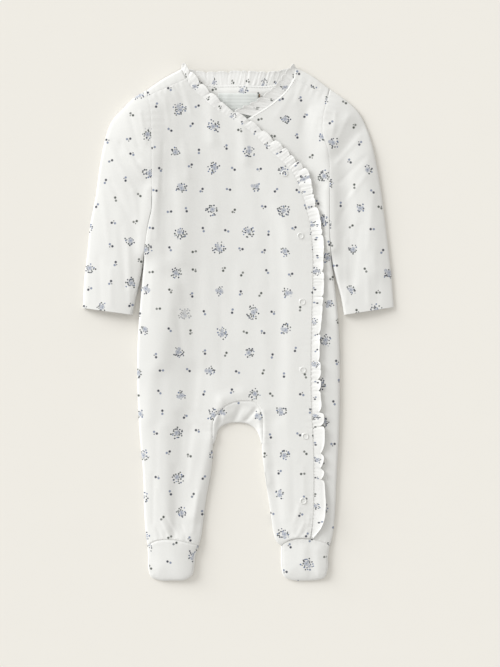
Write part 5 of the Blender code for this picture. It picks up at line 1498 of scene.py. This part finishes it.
class SleepsuitSettings(bpy.types.PropertyGroup):
    """All that a user would change"""
    cloth: bpy.props.PointerProperty(type=SleepsuitCloth)
    print: bpy.props.PointerProperty(type=SleepsuitPrint)
    frill: bpy.props.PointerProperty(type=SleepsuitFrill)
    stage: bpy.props.PointerProperty(type=SleepsuitStage)


def suit():
    """The settings."""
    return bpy.context.scene.sleepsuit


def printed_knit():
    """The wall and the finish of the panels, which share one printed cloth."""
    look = suit().cloth
    found = bpy.data.materials.get("printed knit")
    return look.wall, found or knit("printed knit", look.colour, PRINT_SEED)


class SLEEPSUIT_OT_stage(bpy.types.Operator):
    """Make the floor, the lights and the camera"""
    bl_idname = "sleepsuit.stage"
    bl_label = "Stage"

    def execute(self, context):
        stage(suit().stage)
        return {"FINISHED"}


class SLEEPSUIT_OT_back(bpy.types.Operator):
    """Make the back"""
    bl_idname = "sleepsuit.back"
    bl_label = "Back"

    def execute(self, context):
        back(*printed_knit())
        return {"FINISHED"}


class SLEEPSUIT_OT_fronts(bpy.types.Operator):
    """Make the lower and the upper front"""
    bl_idname = "sleepsuit.fronts"
    bl_label = "Fronts"

    def execute(self, context):
        front_under(*printed_knit())
        front_over(*printed_knit())
        return {"FINISHED"}


class SLEEPSUIT_OT_sleeves(bpy.types.Operator):
    """Make both sleeves"""
    bl_idname = "sleepsuit.sleeves"
    bl_label = "Sleeves"

    def execute(self, context):
        for half in SIGN:
            sleeve(half, *printed_knit())
        return {"FINISHED"}


class SLEEPSUIT_OT_gusset(bpy.types.Operator):
    """Make the crescent of the crotch"""
    bl_idname = "sleepsuit.gusset"
    bl_label = "Gusset"

    def execute(self, context):
        gusset(*printed_knit())
        return {"FINISHED"}


class SLEEPSUIT_OT_feet(bpy.types.Operator):
    """Make the soles and the foot tops"""
    bl_idname = "sleepsuit.feet"
    bl_label = "Feet"

    def execute(self, context):
        for half in SIGN:
            foot(half, *printed_knit())
        return {"FINISHED"}


class SLEEPSUIT_OT_frills(bpy.types.Operator):
    """Make the three frills"""
    bl_idname = "sleepsuit.frills"
    bl_label = "Frills"

    def execute(self, context):
        look = suit().cloth
        # the frills' knit is the panels' knit in the lighter frill colour: painted light on the
        # frills
        frills(look.frill_wall, knit("frill knit painted lighter", look.frill_colour_painted_lighter, FRILL_SEED))
        return {"FINISHED"}


class SLEEPSUIT_OT_snaps(bpy.types.Operator):
    """Make the ring caps of the press fasteners"""
    bl_idname = "sleepsuit.snaps"
    bl_label = "Snaps"

    def execute(self, context):
        snaps(plain("pearl enamel", (0.74, 0.74, 0.72), 0.32, 400.0, 0.03, 0.02, coat=0.3))
        return {"FINISHED"}


class SLEEPSUIT_OT_label(bpy.types.Operator):
    """Make the bare neck label and its bar of stitches"""
    bl_idname = "sleepsuit.label"
    bl_label = "Label"

    def execute(self, context):
        label(woven_label())
        label_bar(plain("brown thread", (0.16, 0.10, 0.06), 0.7, 2500.0, 0.4, 0.1, sheen=0.2))
        return {"FINISHED"}


class SLEEPSUIT_OT_sewing(bpy.types.Operator):
    """Sew the rows of stitches"""
    bl_idname = "sleepsuit.sewing"
    bl_label = "Sewing"

    def execute(self, context):
        sewing(plain("white thread", suit().cloth.thread, 0.7, 2500.0, 0.2, 0.1, sheen=0.3))
        return {"FINISHED"}


OPERATORS = (SLEEPSUIT_OT_stage, SLEEPSUIT_OT_back, SLEEPSUIT_OT_fronts, SLEEPSUIT_OT_sleeves,
             SLEEPSUIT_OT_gusset, SLEEPSUIT_OT_feet, SLEEPSUIT_OT_frills, SLEEPSUIT_OT_snaps,
             SLEEPSUIT_OT_label, SLEEPSUIT_OT_sewing)


class SLEEPSUIT_PT_pieces(bpy.types.Panel):
    """Sizes and pieces of the sleepsuit"""
    bl_idname = "SLEEPSUIT_PT_pieces"
    bl_label = "Footed sleepsuit"
    bl_space_type = "VIEW_3D"
    bl_region_type = "UI"
    bl_category = "Sleepsuit"

    def draw(self, context):
        for group in (suit().cloth, suit().print, suit().frill, suit().stage):
            box = self.layout.box()
            for name in group.__annotations__:
                box.prop(group, name)
        for operator in OPERATORS:
            self.layout.operator(operator.bl_idname)


CLASSES = (SleepsuitCloth, SleepsuitPrint, SleepsuitFrill, SleepsuitStage, SleepsuitSettings,
           SLEEPSUIT_PT_pieces) + OPERATORS


def register():
    """Add the settings, the operators and the panel."""
    for item in CLASSES:
        bpy.utils.register_class(item)
    bpy.types.Scene.sleepsuit = bpy.props.PointerProperty(type=SleepsuitSettings)


def unregister():
    """Take them away again."""
    del bpy.types.Scene.sleepsuit
    for item in reversed(CLASSES):
        bpy.utils.unregister_class(item)


def main():
    """Make every piece."""
    register()
    for operator in OPERATORS:
        group, name = operator.bl_idname.split(".")
        getattr(getattr(bpy.ops, group), name)()


if __name__ == "__main__":
    main()
